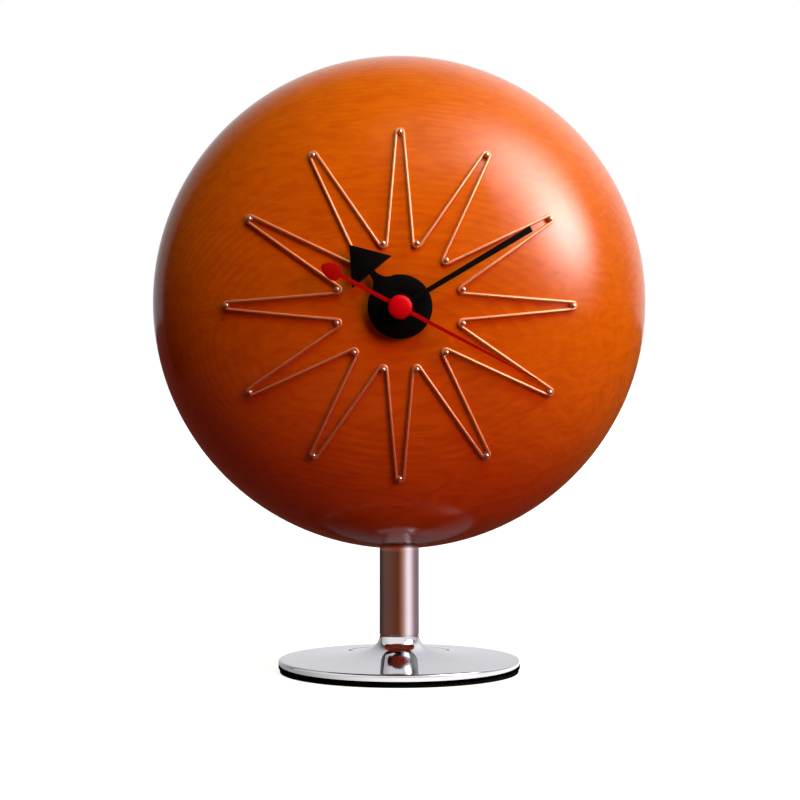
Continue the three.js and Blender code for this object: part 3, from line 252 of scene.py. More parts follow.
class HandSettings(bpy.types.PropertyGroup):
    """Shape and finish of the hands, drawn pointing to twelve and then turned to the time."""

    edge: length("Edge", "Broken edge of the hands", 0.07 * MM)
    hour_angle: angle("Hour", "Clockwise from twelve", 320.7)
    hour_hub: length("Hour hub", "Radius of the hour hand's disc", 9.4 * MM)
    hour_bore: length("Hour bore", "Radius of its bore", 2.6 * MM)
    hour_neck: length("Hour neck", "Where the arrow starts", 12.9 * MM)
    hour_neck_width: length("Hour neck width", "Width of the neck", 2 * MM)
    hour_fillet: angle("Hour fillet", "Where the neck's curve leaves the disc", 28)
    hour_arrow: length("Arrow width", "Width of the arrow", 15 * MM)
    hour_length: length("Hour length", "Reach of the arrow's tip", 23.2 * MM)
    minute_angle: angle("Minute", "Clockwise from twelve", 59.2)
    minute_hub: length("Minute hub", "Radius of the minute hand's hub", 4.2 * MM)
    minute_bore: length("Minute bore", "Radius of its bore", 1.6 * MM)
    minute_foot: length("Minute foot", "Width of the bar at the hub", 1.4 * MM)
    minute_tip: length("Minute tip", "Width of the bar at its tip", 1.9 * MM)
    minute_length: length("Minute length", "Reach of the bar", 44.2 * MM)
    second_angle: angle("Second", "Clockwise from twelve", 117.8)
    second_hub: length("Second hub", "Radius of the second hand's hub", 2.4 * MM)
    second_bore: length("Second bore", "Radius of its bore", 0.55 * MM)
    second_foot: length("Second foot", "Width of the needle at the hub", 1.3 * MM)
    second_tip: length("Second tip", "Width of the needle at its tip", 0.4 * MM)
    second_length: length("Second length", "Reach of the needle", 45 * MM)
    tail_width: length("Tail width", "Width of the tail's bar", 1.2 * MM)
    tail_bar: length("Tail bar", "Reach of the tail's bar", 19.4 * MM)
    tail_length: length("Tail length", "Reach of the tail", 26.2 * MM)
    paddle_width: length("Paddle width", "Width of the tail's paddle", 4.9 * MM)
    paddle_side: length("Paddle side", "Length of the paddle's sides", 4.2 * MM)
    cap_side: length("Cap side", "Height of the cap's side below its dome", 1.2 * MM)
    black: colour("Black", "Paint of the hour and minute hands", (0.0022, 0.0018, 0.0018))
    red: colour("Red", "Paint of the second hand", (0.40, 0.0025, 0.001))
    cap_red: colour("Cap red", "Enamel of the cap", (0.62, 0.001, 0.009))


class MovementSettings(bpy.types.PropertyGroup):
    """Finish of the movement in the bay."""

    edge: length("Edge", "Softened edges of the moulded pieces", 0.35 * MM)
    rib_width: length("Rib width", "Width of the ribs and marks on the case", 0.8 * MM)
    rib_rise: length("Rib rise", "How far they stand above the case", 0.45 * MM)
    rib_edge: length("Rib edge", "Softened edges of the ribs", 0.12 * MM)
    panel_margin: length("Panel margin", "From the framed panel to the case's edges", 4.2 * MM)
    panel_floor: length("Panel floor", "From the cell to the framed panel", 7 * MM)
    knob_clearance: length("Knob clearance", "Between the knob and the ring round it", 0.9 * MM)
    mark_size: length("Mark size", "Length of the marks at the cell's ends", 2.8 * MM)
    knob_rim: length("Knob rim", "Width of the rim round the knob's dish", 1 * MM)
    knob_dish: length("Knob dish", "Depth of that dish", 0.4 * MM)
    metal_edge: length("Metal edge", "Broken edges of the small metal pieces", 0.12 * MM)
    nub_radius: length("Nub radius", "Radius of the cell's positive nub", 2.75 * MM)
    nub_length: length("Nub length", "Length of that nub", 1 * MM)
    nub_round: length("Nub round", "Rounding of that nub", 0.3 * MM)
    cell_round: length("Cell round", "Rounding of the cell's ends", 0.5 * MM)
    crimp: length("Crimp", "Bare steel at each end of the cell", 0.9 * MM)
    band_start: length("Band start", "Where the jacket's pale band starts", 10 * MM)
    band_edge: length("Band edge", "Softness of that band's edge", 0.2 * MM)
    case: colour("Case", "Moulded case", (0.02, 0.02, 0.022))
    jacket: colour("Jacket", "Printed jacket of the cell", (0.035, 0.045, 0.07))


class StageSettings(bpy.types.PropertyGroup):
    """Camera, light and floor."""

    camera_distance: length("Camera distance", "From the stem to the camera", 1)
    camera_height: length("Camera height", "Above the floor", 0.135)
    camera_side: length("Camera side", "To the right of the stem", -0.005)
    camera_pitch: angle("Camera pitch", "Downwards", 2.955)
    camera_yaw: angle("Camera yaw", "To the right of straight ahead", 0.3)
    camera_lens: FloatProperty(name="Lens", description="Focal length", default=147.6, unit="CAMERA")
    floor_size: length("Floor size", "Half the floor's width", 3)
    floor_colour: colour("Floor", "Colour of the pale floor", (0.3, 0.3, 0.3))
    ambient: colour("Ambient", "Light from the room", (0.115, 0.018, 0.014))
    key_power: amount("Key", "Power of the warm light at the right, in watts", 10)
    top_power: amount("Top", "Power of the light above, in watts", 9.6)
    rim_power: amount("Rim", "Power of the light on the upper right rim, in watts", 12.8)
    back_power: amount("Back", "Power of the light on the back, in watts", 12)
    soft_box: amount("Soft box", "Brightest part of the light that lacquer and metal mirror", 18)
    backdrop: amount("Backdrop", "Brightness of the backdrop in lacquer and metal", 0.83)
    room_level: amount("Room", "Brightness of the dark side of the room in lacquer and metal", 0.008)


def add_object(name, mesh):
    made = bpy.data.objects.new(name, mesh)
    bpy.context.scene.collection.objects.link(made)
    return made


def add_piece(name, bm, node, sharp=SHARP_ANGLE):
    """Makes an object of the mesh that stands for a CAD node, rides on its body and takes its finish."""
    bmesh.ops.remove_doubles(bm, verts=bm.verts, dist=MERGE_DISTANCE)
    bmesh.ops.recalc_face_normals(bm, faces=bm.faces)
    mesh = bpy.data.meshes.new(name)
    bm.to_mesh(mesh)
    bm.free()
    mesh.shade_smooth()
    mesh.set_sharp_from_angle(angle=radians(sharp))
    mesh.materials.append(finish_of(NODE_SLOTS[node]))
    piece = add_object(name, mesh)
    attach(piece, frame["nodes"][node]["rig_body"])
    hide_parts(node)
    return piece


def add_outline(bm, points, closed=True):
    """Vertices through the points, joined in order by edges."""
    verts = [bm.verts.new(point) for point in points]
    after = verts[1:] + verts[:1] if closed else verts[1:]
    edges = [bm.edges.new(pair) for pair in zip(verts, after)]
    return verts, edges


def round_corner(bm, vert, radius, steps=ROUND_STEPS):
    bmesh.ops.bevel(
        bm, geom=[vert], offset=radius, segments=steps, profile=0.5, affect="VERTICES", material=-1)


def turn(section, sides, rounds=(), closed=True):
    """A mesh turned about Z from a section of (radius, height) points, with some corners rounded."""
    bm = bmesh.new()
    verts, _ = add_outline(bm, [(radius, 0, height) for radius, height in section], closed)
    for corner, radius in rounds:
        round_corner(bm, verts[corner], radius)
    bmesh.ops.spin(
        bm, geom=bm.verts[:] + bm.edges[:], axis=(0, 0, 1), angle=tau, steps=sides, use_merge=True)
    return bm


def place(bm, matrix):
    bmesh.ops.transform(bm, matrix=matrix, verts=bm.verts)


def soften(bm, width, steps=2, least=40):
    """Bevels each edge whose faces meet more sharply than the least angle in degrees."""
    edges = [edge for edge in bm.edges if edge.calc_face_angle(0) > radians(least)]
    bmesh.ops.bevel(
        bm, geom=edges, offset=width, segments=steps, profile=0.5, affect="EDGES", material=-1,
        clamp_overlap=True)


def merged_copy(node):
    """The mesh of a CAD node with its flat faces whole."""
    bm = bmesh.new()
    bm.from_mesh(frame["nodes"][node].data)
    bmesh.ops.remove_doubles(bm, verts=bm.verts, dist=MERGE_DISTANCE)
    bmesh.ops.dissolve_limit(bm, angle_limit=FLAT_ANGLE, verts=bm.verts, edges=bm.edges)
    return bm


def soft_copy(node, width):
    """A copy of a CAD node with its edges softened."""
    bm = merged_copy(node)
    soften(bm, width)
    add_piece(f"soft_{node}", bm, node, CRISP_ANGLE)


def thicken(bm, rise):
    """Fills flat outlines and raises them into a slab."""
    flat = bmesh.ops.triangle_fill(bm, use_beauty=True, edges=bm.edges)
    faces = [part for part in flat["geom"] if isinstance(part, bmesh.types.BMFace)]
    raised = bmesh.ops.extrude_face_region(bm, geom=faces, use_keep_orig=True)
    top = [part for part in raised["geom"] if isinstance(part, bmesh.types.BMVert)]
    bmesh.ops.translate(bm, verts=top, vec=(0, 0, rise))
    bmesh.ops.recalc_face_normals(bm, faces=bm.faces)


def ellipse_arc(depth, start, end, steps):
    """Points (radius, height) on the body's section from one angle of the ellipse to another."""
    angles = [start + (end - start) * step / steps for step in range(steps + 1)]
    return [(BODY_RADIUS * cos(at), depth * sin(at)) for at in angles]


def bay_radius(body):
    return BODY_RADIUS * sqrt(1 - (REAR_RIM / body.back_depth) ** 2)


def on_front(body, x, y):
    """The point of the front above x, y in the dial's frame, and the direction square to the wood."""
    height = body.front_depth * sqrt(1 - (x * x + y * y) / BODY_RADIUS ** 2)
    square = Vector((x / BODY_RADIUS ** 2, y / BODY_RADIUS ** 2, height / body.front_depth ** 2))
    return Vector((x, y, height)), square.normalized()


def polar(radius, bearing):
    """A point at a bearing clockwise from twelve."""
    return Vector((radius * sin(bearing), radius * cos(bearing)))


def pin_places(dial):
    step = tau / HOURS
    outer = [polar(dial.outer_circle, hour * step) for hour in range(HOURS)]
    inner = [polar(dial.inner_circle, (hour + 0.5) * step) for hour in range(HOURS)]
    return outer, inner


class CLOCK_OT_front_shell(bpy.types.Operator):
    """Turn the front of the wooden body, with its bay and the recess under the hands"""

    bl_idname = "clock.front_shell"
    bl_label = "Front Shell"

    back_steps = 8
    front_steps = 44

    def execute(self, context):
        body = context.scene.clock_body
        bore = bay_radius(body)
        lip_bore = bore + body.lip + body.lip_gap
        floor = body.front_depth - body.counterbore_depth
        bay_floor = body.front_depth - body.front_wall
        back = ellipse_arc(body.back_depth, asin(SEAM / body.back_depth), 0, self.back_steps)
        recess = acos(body.counterbore_radius / BODY_RADIUS)
        front = ellipse_arc(body.front_depth, 0, recess, self.front_steps)
        outside = back[:-1] + front
        section = outside + [
            (body.counterbore_radius, floor),
            (body.bushing_hole, floor),
            (body.bushing_hole, bay_floor),
            (bore, bay_floor),
            (bore, SEAM + body.lip),
            (lip_bore, SEAM + body.lip),
            (lip_bore, SEAM),
        ]
        rim = len(outside) - 1
        rounds = [(0, body.fine_round), (rim, body.fine_round)]
        bm = turn(section, body.sides, rounds)
        place(bm, FACE)
        add_piece("wooden_front", bm, "front_shell")
        return {"FINISHED"}


class CLOCK_OT_rear_shell(bpy.types.Operator):
    """Turn the rear of the wooden body, open where the movement is reached"""

    bl_idname = "clock.rear_shell"
    bl_label = "Rear Shell"

    steps = 14

    def execute(self, context):
        body = context.scene.clock_body
        bore = bay_radius(body)
        seam = SEAM - body.seam_gap
        lip_top = seam + body.lip
        rim_angle = -acos(bore / BODY_RADIUS)
        outside = ellipse_arc(body.back_depth, rim_angle, asin(seam / body.back_depth), self.steps)
        section = outside + [
            (bore + body.lip, seam),
            (bore + body.lip, lip_top),
            (bore, lip_top),
        ]
        rounds = [(0, body.rear_round), (len(outside) - 1, body.fine_round)]
        bm = turn(section, body.sides, rounds)
        place(bm, FACE)
        add_piece("wooden_back", bm, "rear_shell")
        return {"FINISHED"}


class CLOCK_OT_stand(bpy.types.Operator):
    """Turn the chrome foot with its flared neck, the stem and the pad under the foot"""

    bl_idname = "clock.stand"
    bl_label = "Stand"

    flare_steps = 40
    # Rounding of the pad's edges, as a share of its thickness
    pad_edge = 0.2

    def execute(self, context):
        stand = context.scene.clock_stand
        self.make_foot(stand)
        bore = STEM_RADIUS - stand.stem_wall
        section = [
            (bore, STEM_LOW.z), (STEM_RADIUS, STEM_LOW.z), (STEM_RADIUS, STEM_HIGH.z), (bore, STEM_HIGH.z)]
        add_piece("chrome_stem", turn(section, stand.sides), "stem_tube")

        pad = [(0, PAD_LOW.z), (PAD_HIGH.x, PAD_LOW.z), (PAD_HIGH.x, PAD_HIGH.z), (0, PAD_HIGH.z)]
        edge = self.pad_edge * (PAD_HIGH.z - PAD_LOW.z)
        rubber = turn(pad, stand.sides, [(1, edge), (2, edge)], closed=False)
        add_piece("rubber_pad", rubber, "foot_pad")
        return {"FINISHED"}

    def make_foot(self, stand):
        bottom = BASE_LOW.z
        rim_top = bottom + stand.rim_height
        neck_top = bottom + stand.neck_height
        neck_radius = STEM_RADIUS - stand.neck_step
        recess_top = bottom + stand.nut_recess_depth
        pulls = [
            Vector((BASE_RADIUS - stand.rim_inset, rim_top)),
            Vector((stand.flare_radius, rim_top + stand.flare_rise)),
            Vector((neck_radius, neck_top - stand.neck_pull)),
            Vector((neck_radius, neck_top)),
        ]
        section = [
            (stand.nut_recess, bottom),
            (BASE_RADIUS, bottom),
            (BASE_RADIUS, rim_top),
            *bezier(pulls, self.flare_steps),
            (stand.spigot_radius, neck_top),
            (stand.spigot_radius, BASE_HIGH.z),
            (stand.rod_hole, BASE_HIGH.z),
            (stand.rod_hole, recess_top),
            (stand.nut_recess, recess_top),
        ]
        foot = turn(section, stand.sides, [(1, stand.under_round), (2, stand.rim_round)])
        add_piece("chrome_foot", foot, "base_plate")


def bezier(pulls, steps):
    """Points along a cubic curve from the first pull point to the last."""
    points = []
    for step in range(steps + 1):
        level = pulls
        share = step / steps
        while len(level) > 1:
            level = [before.lerp(after, share) for before, after in zip(level, level[1:])]
        points.append(tuple(level[0]))
    return points


class CLOCK_OT_dial_wire(bpy.types.Operator):
    """Bend one wire round all the pins, over the curve of the wood"""

    bl_idname = "clock.dial_wire"
    bl_label = "Dial Wire"

    arc_steps = 10
    leg_steps = 8
    round_steps = 4

    def execute(self, context):
        dial = context.scene.clock_dial
        body = context.scene.clock_body
        stations = []
        for x, y in self.star(dial):
            point, square = on_front(body, x, y)
            stations.append(FACE @ (point + square * dial.wire_height))
        curve = bpy.data.curves.new("star_path", "CURVE")
        curve.dimensions = "3D"
        curve.bevel_depth = dial.wire_radius
        curve.bevel_resolution = self.round_steps
        spline = curve.splines.new("POLY")
        spline.points.add(len(stations) - 1)
        for knot, station in zip(spline.points, stations):
            knot.co = (*station, 1)
        spline.use_cyclic_u = True
        path = bpy.data.objects.new("star_path", curve)
        bm = bmesh.new()
        bm.from_mesh(bpy.data.meshes.new_from_object(path))
        bpy.data.objects.remove(path)
        add_piece("star_wire", bm, "dial_wire")
        return {"FINISHED"}

    def star(self, dial):
        """The wire's path as x, y: round the outside of each outer pin and the inside of each inner pin."""
        outer, inner = pin_places(dial)
        path = []
        for hour in range(HOURS):
            here, between, there = outer[hour], inner[hour], outer[(hour + 1) % HOURS]
            leave_outer = self.leaving(here, between, 1, dial)
            leave_inner = self.leaving(between, there, -1, dial)
            path += self.arc(here, here, leave_outer, dial)
            path += self.leg(here, between, leave_outer, dial)
            path += self.arc(between, -between, leave_inner, dial)
            path += self.leg(between, there, leave_inner, dial)
        return path

    def leaving(self, pin, other, side, dial):
        """The angle round a pin at which the wire leaves it for the other side of the next pin."""
        step = other - pin
        return atan2(step.y, step.x) + side * acos(2 * dial.wrap_radius / step.length)

    def on_wrap(self, pin, at, dial):
        return pin + dial.wrap_radius * Vector((cos(at), sin(at)))

    def arc(self, pin, outwards, leave, dial):
        middle = atan2(outwards.y, outwards.x)
        half = atan2(sin(leave - middle), cos(leave - middle))
        shares = [2 * step / self.arc_steps - 1 for step in range(self.arc_steps + 1)]
        return [self.on_wrap(pin, middle + half * share, dial) for share in shares]

    def leg(self, pin, other, leave, dial):
        start = self.on_wrap(pin, leave, dial)
        end = self.on_wrap(other, leave + pi, dial)
        return [start.lerp(end, step / self.leg_steps) for step in range(1, self.leg_steps)]


class CLOCK_OT_dial_pins(bpy.types.Operator):
    """Stand a pin with a domed head at each bend of the wire, square to the wood"""

    bl_idname = "clock.dial_pins"
    bl_label = "Dial Pins"

    dome_steps = 8
    sides = 24
    sharp = 50

    def execute(self, context):
        dial = context.scene.clock_dial
        body = context.scene.clock_body
        outer, inner = pin_places(dial)
        for kind, places in (("outer", outer), ("inner", inner)):
            for hour, (x, y) in enumerate(places, 1):
                point, square = on_front(body, x, y)
                bm = turn(self.section(dial), self.sides, closed=False)
                stood = square.to_track_quat("Z", "Y").to_matrix().to_4x4()
                place(bm, FACE @ Matrix.Translation(point) @ stood)
                node = f"dial_pin_{kind}_{hour:02d}"
                pin = add_piece(f"{kind}_pin_{hour:02d}", bm, node, self.sharp)
                pin.data.materials[0] = finish_of("pin_head_with_painted_reflection")
        return {"FINISHED"}

    def section(self, dial):
        angles = [pi / 2 * step / self.dome_steps for step in range(self.dome_steps + 1)]
        dome = [
            (dial.head_radius * cos(at), dial.head_floor + dial.head_height * sin(at)) for at in angles]
        shank = [
            (0, -dial.pin_depth), (dial.pin_radius, -dial.pin_depth), (dial.pin_radius, dial.head_floor)]
        return shank + dome


def hub_arc(radius, start, end, steps=64):
    """Points round a hub, clockwise by bearing from start to end."""
    return [polar(radius, start + (end - start) * step / steps) for step in range(steps + 1)]


def make_hand(name, node, points, rounds, bore, bearing, edge):
    """A flat hand cut from its outline, with some corners rounded, a bore and broken edges."""
    low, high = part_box(node)
    bm = bmesh.new()
    verts, _ = add_outline(bm, [(x, y, 0) for x, y in points])
    for corner, radius in rounds:
        round_corner(bm, verts[corner], radius, HAND_ROUND_STEPS)
    bmesh.ops.create_circle(bm, radius=bore, segments=BORE_SIDES)
    thicken(bm, high.y - low.y)
    soften(bm, edge, least=60)
    place(bm, FACE @ Matrix.Translation((0, 0, -high.y)) @ Matrix.Rotation(-bearing, 4, "Z"))
    add_piece(name, bm, node, CRISP_ANGLE)


class CLOCK_OT_hour_hand(bpy.types.Operator):
    """Cut the black hour hand: a disc with a broad arrow on a curved neck"""

    bl_idname = "clock.hour_hand"
    bl_label = "Hour Hand"

    # Shares of half the neck's width and of the neck's length
    crook_rise = 0.25
    neck_curve = 0.85

    def execute(self, context):
        hands = context.scene.clock_hands
        neck = hands.hour_neck_width / 2
        arrow = hands.hour_arrow / 2
        crook = hands.hour_hub + self.crook_rise * neck
        points = hub_arc(hands.hour_hub, hands.hour_fillet, tau - hands.hour_fillet)
        points += [
            (-neck, crook), (-neck, hands.hour_neck), (-arrow, hands.hour_neck), (0, hands.hour_length),
            (arrow, hands.hour_neck), (neck, hands.hour_neck), (neck, crook)]
        curve = self.neck_curve * (hands.hour_neck - crook)
        rounds = [(-1, curve), (-7, curve)]
        make_hand(
            "black_hour_hand", "hour_hand", points, rounds, hands.hour_bore, hands.hour_angle,
            hands.edge)
        return {"FINISHED"}


class CLOCK_OT_minute_hand(bpy.types.Operator):
    """Cut the black minute hand: a bar that widens towards its tip"""

    bl_idname = "clock.minute_hand"
    bl_label = "Minute Hand"

    def execute(self, context):
        hands = context.scene.clock_hands
        foot = asin(hands.minute_foot / 2 / hands.minute_hub)
        tip = hands.minute_tip / 2
        points = hub_arc(hands.minute_hub, foot, tau - foot)
        points += [(-tip, hands.minute_length), (tip, hands.minute_length)]
        make_hand(
            "black_minute_hand", "minute_hand", points, [], hands.minute_bore, hands.minute_angle,
            hands.edge)
        return {"FINISHED"}


class CLOCK_OT_second_hand(bpy.types.Operator):
    """Cut the red second hand, a needle with a paddle on its tail, and turn the cap over its hub"""

    bl_idname = "clock.second_hand"
    bl_label = "Second Hand"

    # Roundings of the paddle's corners, as shares of half its width
    paddle_rounds = (0.75, 0.8, 0.5, 0.8, 0.75)
    hub_steps = 24
    dome_steps = 12
    cap_sides = 64
    # Depth of the bore under the cap, as a share of its side
    cap_bore = 0.5

    def execute(self, context):
        hands = context.scene.clock_hands
        foot = asin(hands.second_foot / 2 / hands.second_hub)
        tail_foot = asin(hands.tail_width / 2 / hands.second_hub)
        tip = hands.second_tip / 2
        tail = hands.tail_width / 2
        paddle = hands.paddle_width / 2
        paddle_end = hands.tail_bar + hands.paddle_side
        points = hub_arc(hands.second_hub, foot, pi - tail_foot, self.hub_steps)
        first = len(points)
        points += [
            (tail, -hands.tail_bar), (paddle, -hands.tail_bar), (paddle, -paddle_end),
            (0, -hands.tail_length),
            (-paddle, -paddle_end), (-paddle, -hands.tail_bar), (-tail, -hands.tail_bar)]
        points += hub_arc(hands.second_hub, pi + tail_foot, tau - foot, self.hub_steps)
        points += [(-tip, hands.second_length), (tip, hands.second_length)]
        rounds = [(first + corner, share * paddle) for corner, share in enumerate(self.paddle_rounds, 1)]
        make_hand(
            "red_second_hand", "second_hand", points, rounds, hands.second_bore, hands.second_angle,
            hands.edge)
        self.make_cap(hands)
        return {"FINISHED"}

    def make_cap(self, hands):
        radius = CAP_HIGH.x
        floor, top = -CAP_HIGH.y, -CAP_LOW.y
        shoulder = floor + hands.cap_side
        angles = [pi / 2 * step / self.dome_steps for step in range(self.dome_steps + 1)]
        dome = [(radius * cos(at), shoulder + (top - shoulder) * sin(at)) for at in angles]
        section = [(hands.second_bore, floor), (radius, floor)] + dome
        roof = floor + self.cap_bore * hands.cap_side
        section += [(0, roof), (hands.second_bore, roof)]
        bm = turn(section, self.cap_sides, [(1, hands.edge)])
        place(bm, FACE)
        add_piece("red_cap", bm, "second_hand_cap")


class CLOCK_OT_movement(bpy.types.Operator):
    """Mould the case with its ribs and the knob, and break the edges of the contacts and nuts"""

    bl_idname = "clock.movement"
    bl_label = "Movement"

    ring_sides = 64

    def execute(self, context):
        movement = context.scene.clock_movement
        self.make_rear_case(movement)
        self.make_knob(movement)
        soft_copy("movement_front_case", movement.edge)
        for node in ("battery_contact_positive", "battery_contact_negative", "base_nut", "mounting_nut"):
            soft_copy(node, movement.metal_edge)
        return {"FINISHED"}

    def make_rear_case(self, movement):
        bm = merged_copy("movement_rear_case")
        soften(bm, movement.edge)
        knob = (KNOB_LOW + KNOB_HIGH) / 2
        ring = (KNOB_HIGH.x - KNOB_LOW.x) / 2 + movement.knob_clearance + movement.rib_width
        half = movement.mark_size / 2
        stroke = movement.rib_width / 2
        mark_height = BATTERY_HIGH.z + movement.panel_floor / 2
        mark_side = CASE_HIGH.x - movement.panel_margin - half
        panel = (
            -knob.x + ring + movement.rib_width, CASE_HIGH.x - movement.panel_margin,
            BATTERY_HIGH.z + movement.panel_floor, CASE_HIGH.z - movement.panel_margin)
        self.mould(bm, movement, self.frame_lines(panel, movement.rib_width))
        self.mould(bm, movement, self.ring_lines(-knob.x, knob.z, ring, ring - movement.rib_width))
        self.mould(bm, movement, [self.plus_line(-mark_side, mark_height, half, stroke)])
        minus = (mark_side - half, mark_side + half, mark_height - stroke, mark_height + stroke)
        self.mould(bm, movement, [self.box_line(*minus)])
        add_piece("soft_movement_rear_case", bm, "movement_rear_case", CRISP_ANGLE)

    def mould(self, bm, movement, outlines):
        """Adds a rib to the case, sunk a little into its back."""
        sunk = movement.rib_edge
        rib = bmesh.new()
        for outline in outlines:
            add_outline(rib, [(x, y, -sunk) for x, y in outline])
        thicken(rib, movement.rib_rise + sunk)
        soften(rib, movement.rib_edge, least=60)
        place(rib, CASE_BACK)
        moulded = bpy.data.meshes.new("rib")
        rib.to_mesh(moulded)
        rib.free()
        bm.from_mesh(moulded)
        bpy.data.meshes.remove(moulded)

    def frame_lines(self, sides, width):
        left, right, low, high = sides
        outer = self.box_line(left, right, low, high)
        inner = self.box_line(left + width, right - width, low + width, high - width)
        return outer, inner

    def box_line(self, left, right, low, high):
        return [(left, low), (right, low), (right, high), (left, high)]

    def ring_lines(self, x, y, *radii):
        around = [tau * step / self.ring_sides for step in range(self.ring_sides)]
        return [[Vector((x, y)) + polar(radius, at) for at in around] for radius in radii]

    def plus_line(self, x, y, half, stroke):
        arm = [(half, -stroke), (half, stroke), (stroke, stroke)]
        quarters = [Matrix.Rotation(pi / 2 * quarter, 2) for quarter in range(4)]
        return [Vector((x, y)) + quarter @ Vector(point) for quarter in quarters for point in arm]

    def make_knob(self, movement):
        """A knob with a shallow dish in its end."""
        bm = merged_copy("setting_knob")
        end = max(bm.faces, key=lambda face: face.calc_center_median().y)
        bmesh.ops.inset_individual(
            bm, faces=[end], thickness=movement.knob_rim, depth=-movement.knob_dish)
        soften(bm, movement.edge)
        add_piece("soft_setting_knob", bm, "setting_knob", CRISP_ANGLE)


class CLOCK_OT_battery(bpy.types.Operator):
    """Turn the cell with its printed jacket, crimped steel ends and nub"""

    bl_idname = "clock.battery"
    bl_label = "Battery"

    sides = 64
    # Steps of the ends and length of the crimped steel, as shares of the rounding
    end_step = 0.3
    crimp_length = 3

    def execute(self, context):
        movement = context.scene.clock_movement
        radius = (BATTERY_HIGH.z - BATTERY_LOW.z) / 2
        left, right = BATTERY_LOW.x, BATTERY_HIGH.x
        shoulder = right - movement.nub_length
        inset = radius - movement.crimp
        step = self.end_step * movement.cell_round
        crimp = self.crimp_length * movement.cell_round
        section = [
            (0, left), (inset, left), (inset, left + step), (radius, left + step), (radius, left + crimp),
            (radius, shoulder - crimp), (radius, shoulder), (inset, shoulder), (inset, shoulder - step),
            (movement.nub_radius + movement.crimp, shoulder - step),
            (movement.nub_radius, shoulder), (movement.nub_radius, right), (0, right)]
        rounds = [(3, movement.cell_round), (6, movement.cell_round), (11, movement.nub_round)]
        bm = turn(section, self.sides, rounds, closed=False)
        middle = (BATTERY_LOW + BATTERY_HIGH) / 2
        place(bm, Matrix.Translation((0, middle.y, middle.z)) @ Matrix.Rotation(pi / 2, 4, "Y"))
        piece = add_piece("dry_cell", bm, "battery")
        piece.data.materials.append(finish_of("steel"))
        for face in piece.data.polygons:
            centre = face.center
            away = hypot(centre.y - middle.y, centre.z - middle.z)
            face.material_index = int(away < inset)
        return {"FINISHED"}


class CLOCK_OT_inner_works(bpy.types.Operator):
    """Give every CAD piece that is carried over the finish of its slot"""

    bl_idname = "clock.inner_works"
    bl_label = "Inner Works"

    def execute(self, context):
        for node, part in frame["nodes"].items():
            part.data.materials[0] = finish_of(NODE_SLOTS[node])
        return {"FINISHED"}


class Finish:
    """A material in the making: its shader and the nodes that feed it."""

    def __init__(self, name):
        self.material = bpy.data.materials.new(name)
        self.material.use_nodes = True
        self.tree = self.material.node_tree
        self.shader = self.tree.nodes["Principled BSDF"]
        self.object = self.node("TexCoord").outputs["Object"]

    def node(self, kind, inputs=(), **settings):
        made = self.tree.nodes.new(f"ShaderNode{kind}")
        for name, value in settings.items():
            setattr(made, name, value)
        for socket, value in dict(inputs).items():
            self.feed(made.inputs[socket], value)
        return made

    def feed(self, socket, value):
        if isinstance(value, bpy.types.NodeSocket):
            self.tree.links.new(value, socket)
        elif socket.type == "RGBA":
            socket.default_value = (*value, 1)
        else:
            socket.default_value = value

    def shade(self, **inputs):
        for name, value in inputs.items():
            self.feed(self.shader.inputs[name.replace("_", " ").title().replace("Ior", "IOR")], value)

    def stretched(self, scale, shift=(0, 0, 0)):
        inputs = {"Vector": self.object, "Scale": scale, "Location": shift}
        return self.node("Mapping", inputs).outputs["Vector"]

    def noise(self, scale, detail=3, vector=None, distortion=0.0):
        inputs = {"Vector": vector or self.object, "Scale": scale, "Detail": detail, "Distortion": distortion}
        return self.node("TexNoise", inputs).outputs["Fac"]

    def ranged(self, value, low, high, to_low=0.0, to_high=1.0, ease="LINEAR"):
        inputs = {"Value": value, "From Min": low, "From Max": high, "To Min": to_low, "To Max": to_high}
        return self.node("MapRange", inputs, interpolation_type=ease).outputs["Result"]

    def along(self, axis):
        return self.node("SeparateXYZ", {0: self.object}).outputs[axis]

    def away(self):
        """Distance from the origin."""
        return self.node("VectorMath", {0: self.object}, operation="LENGTH").outputs["Value"]

    def facing(self, direction, other):
        """How far one direction points along another."""
        return self.node("VectorMath", {0: direction, 1: other}, operation="DOT_PRODUCT").outputs["Value"]

    def times(self, first, second):
        return self.node("Math", {0: first, 1: second}, operation="MULTIPLY").outputs["Value"]

    def plus(self, first, second):
        return self.node("Math", {0: first, 1: second}, operation="ADD").outputs["Value"]

    def mixed(self, share, first, second):
        inputs = {0: share, 6: first, 7: second}
        return self.node("Mix", inputs, data_type="RGBA").outputs[2]

    def bump(self, height, depth, strength=1.0):
        inputs = {"Height": height, "Distance": depth, "Strength": strength}
        return self.node("Bump", inputs).outputs["Normal"]


class Glow(Finish):
    """A material that only gives light, for the stage."""

    def shine(self, tone, strength, clear=False):
        """Shows in polish, lights no wood or paint by way of polish, and is clear where that is asked."""
        thrown = self.node("LightPath").outputs["Diffuse Depth"]
        level = self.times(self.ranged(thrown, 0.0, 1.0, 1.0, 0.0), strength)
        surface = self.node("Emission", {"Color": tone, "Strength": level}).outputs[0]
        if clear:
            behind = self.node("BsdfTransparent").outputs[0]
            surface = self.node("AddShader", {0: surface, 1: behind}).outputs[0]
        self.tree.links.new(surface, self.tree.nodes["Material Output"].inputs["Surface"])


def darker(tone, share):
    return tuple(share * channel for channel in tone)


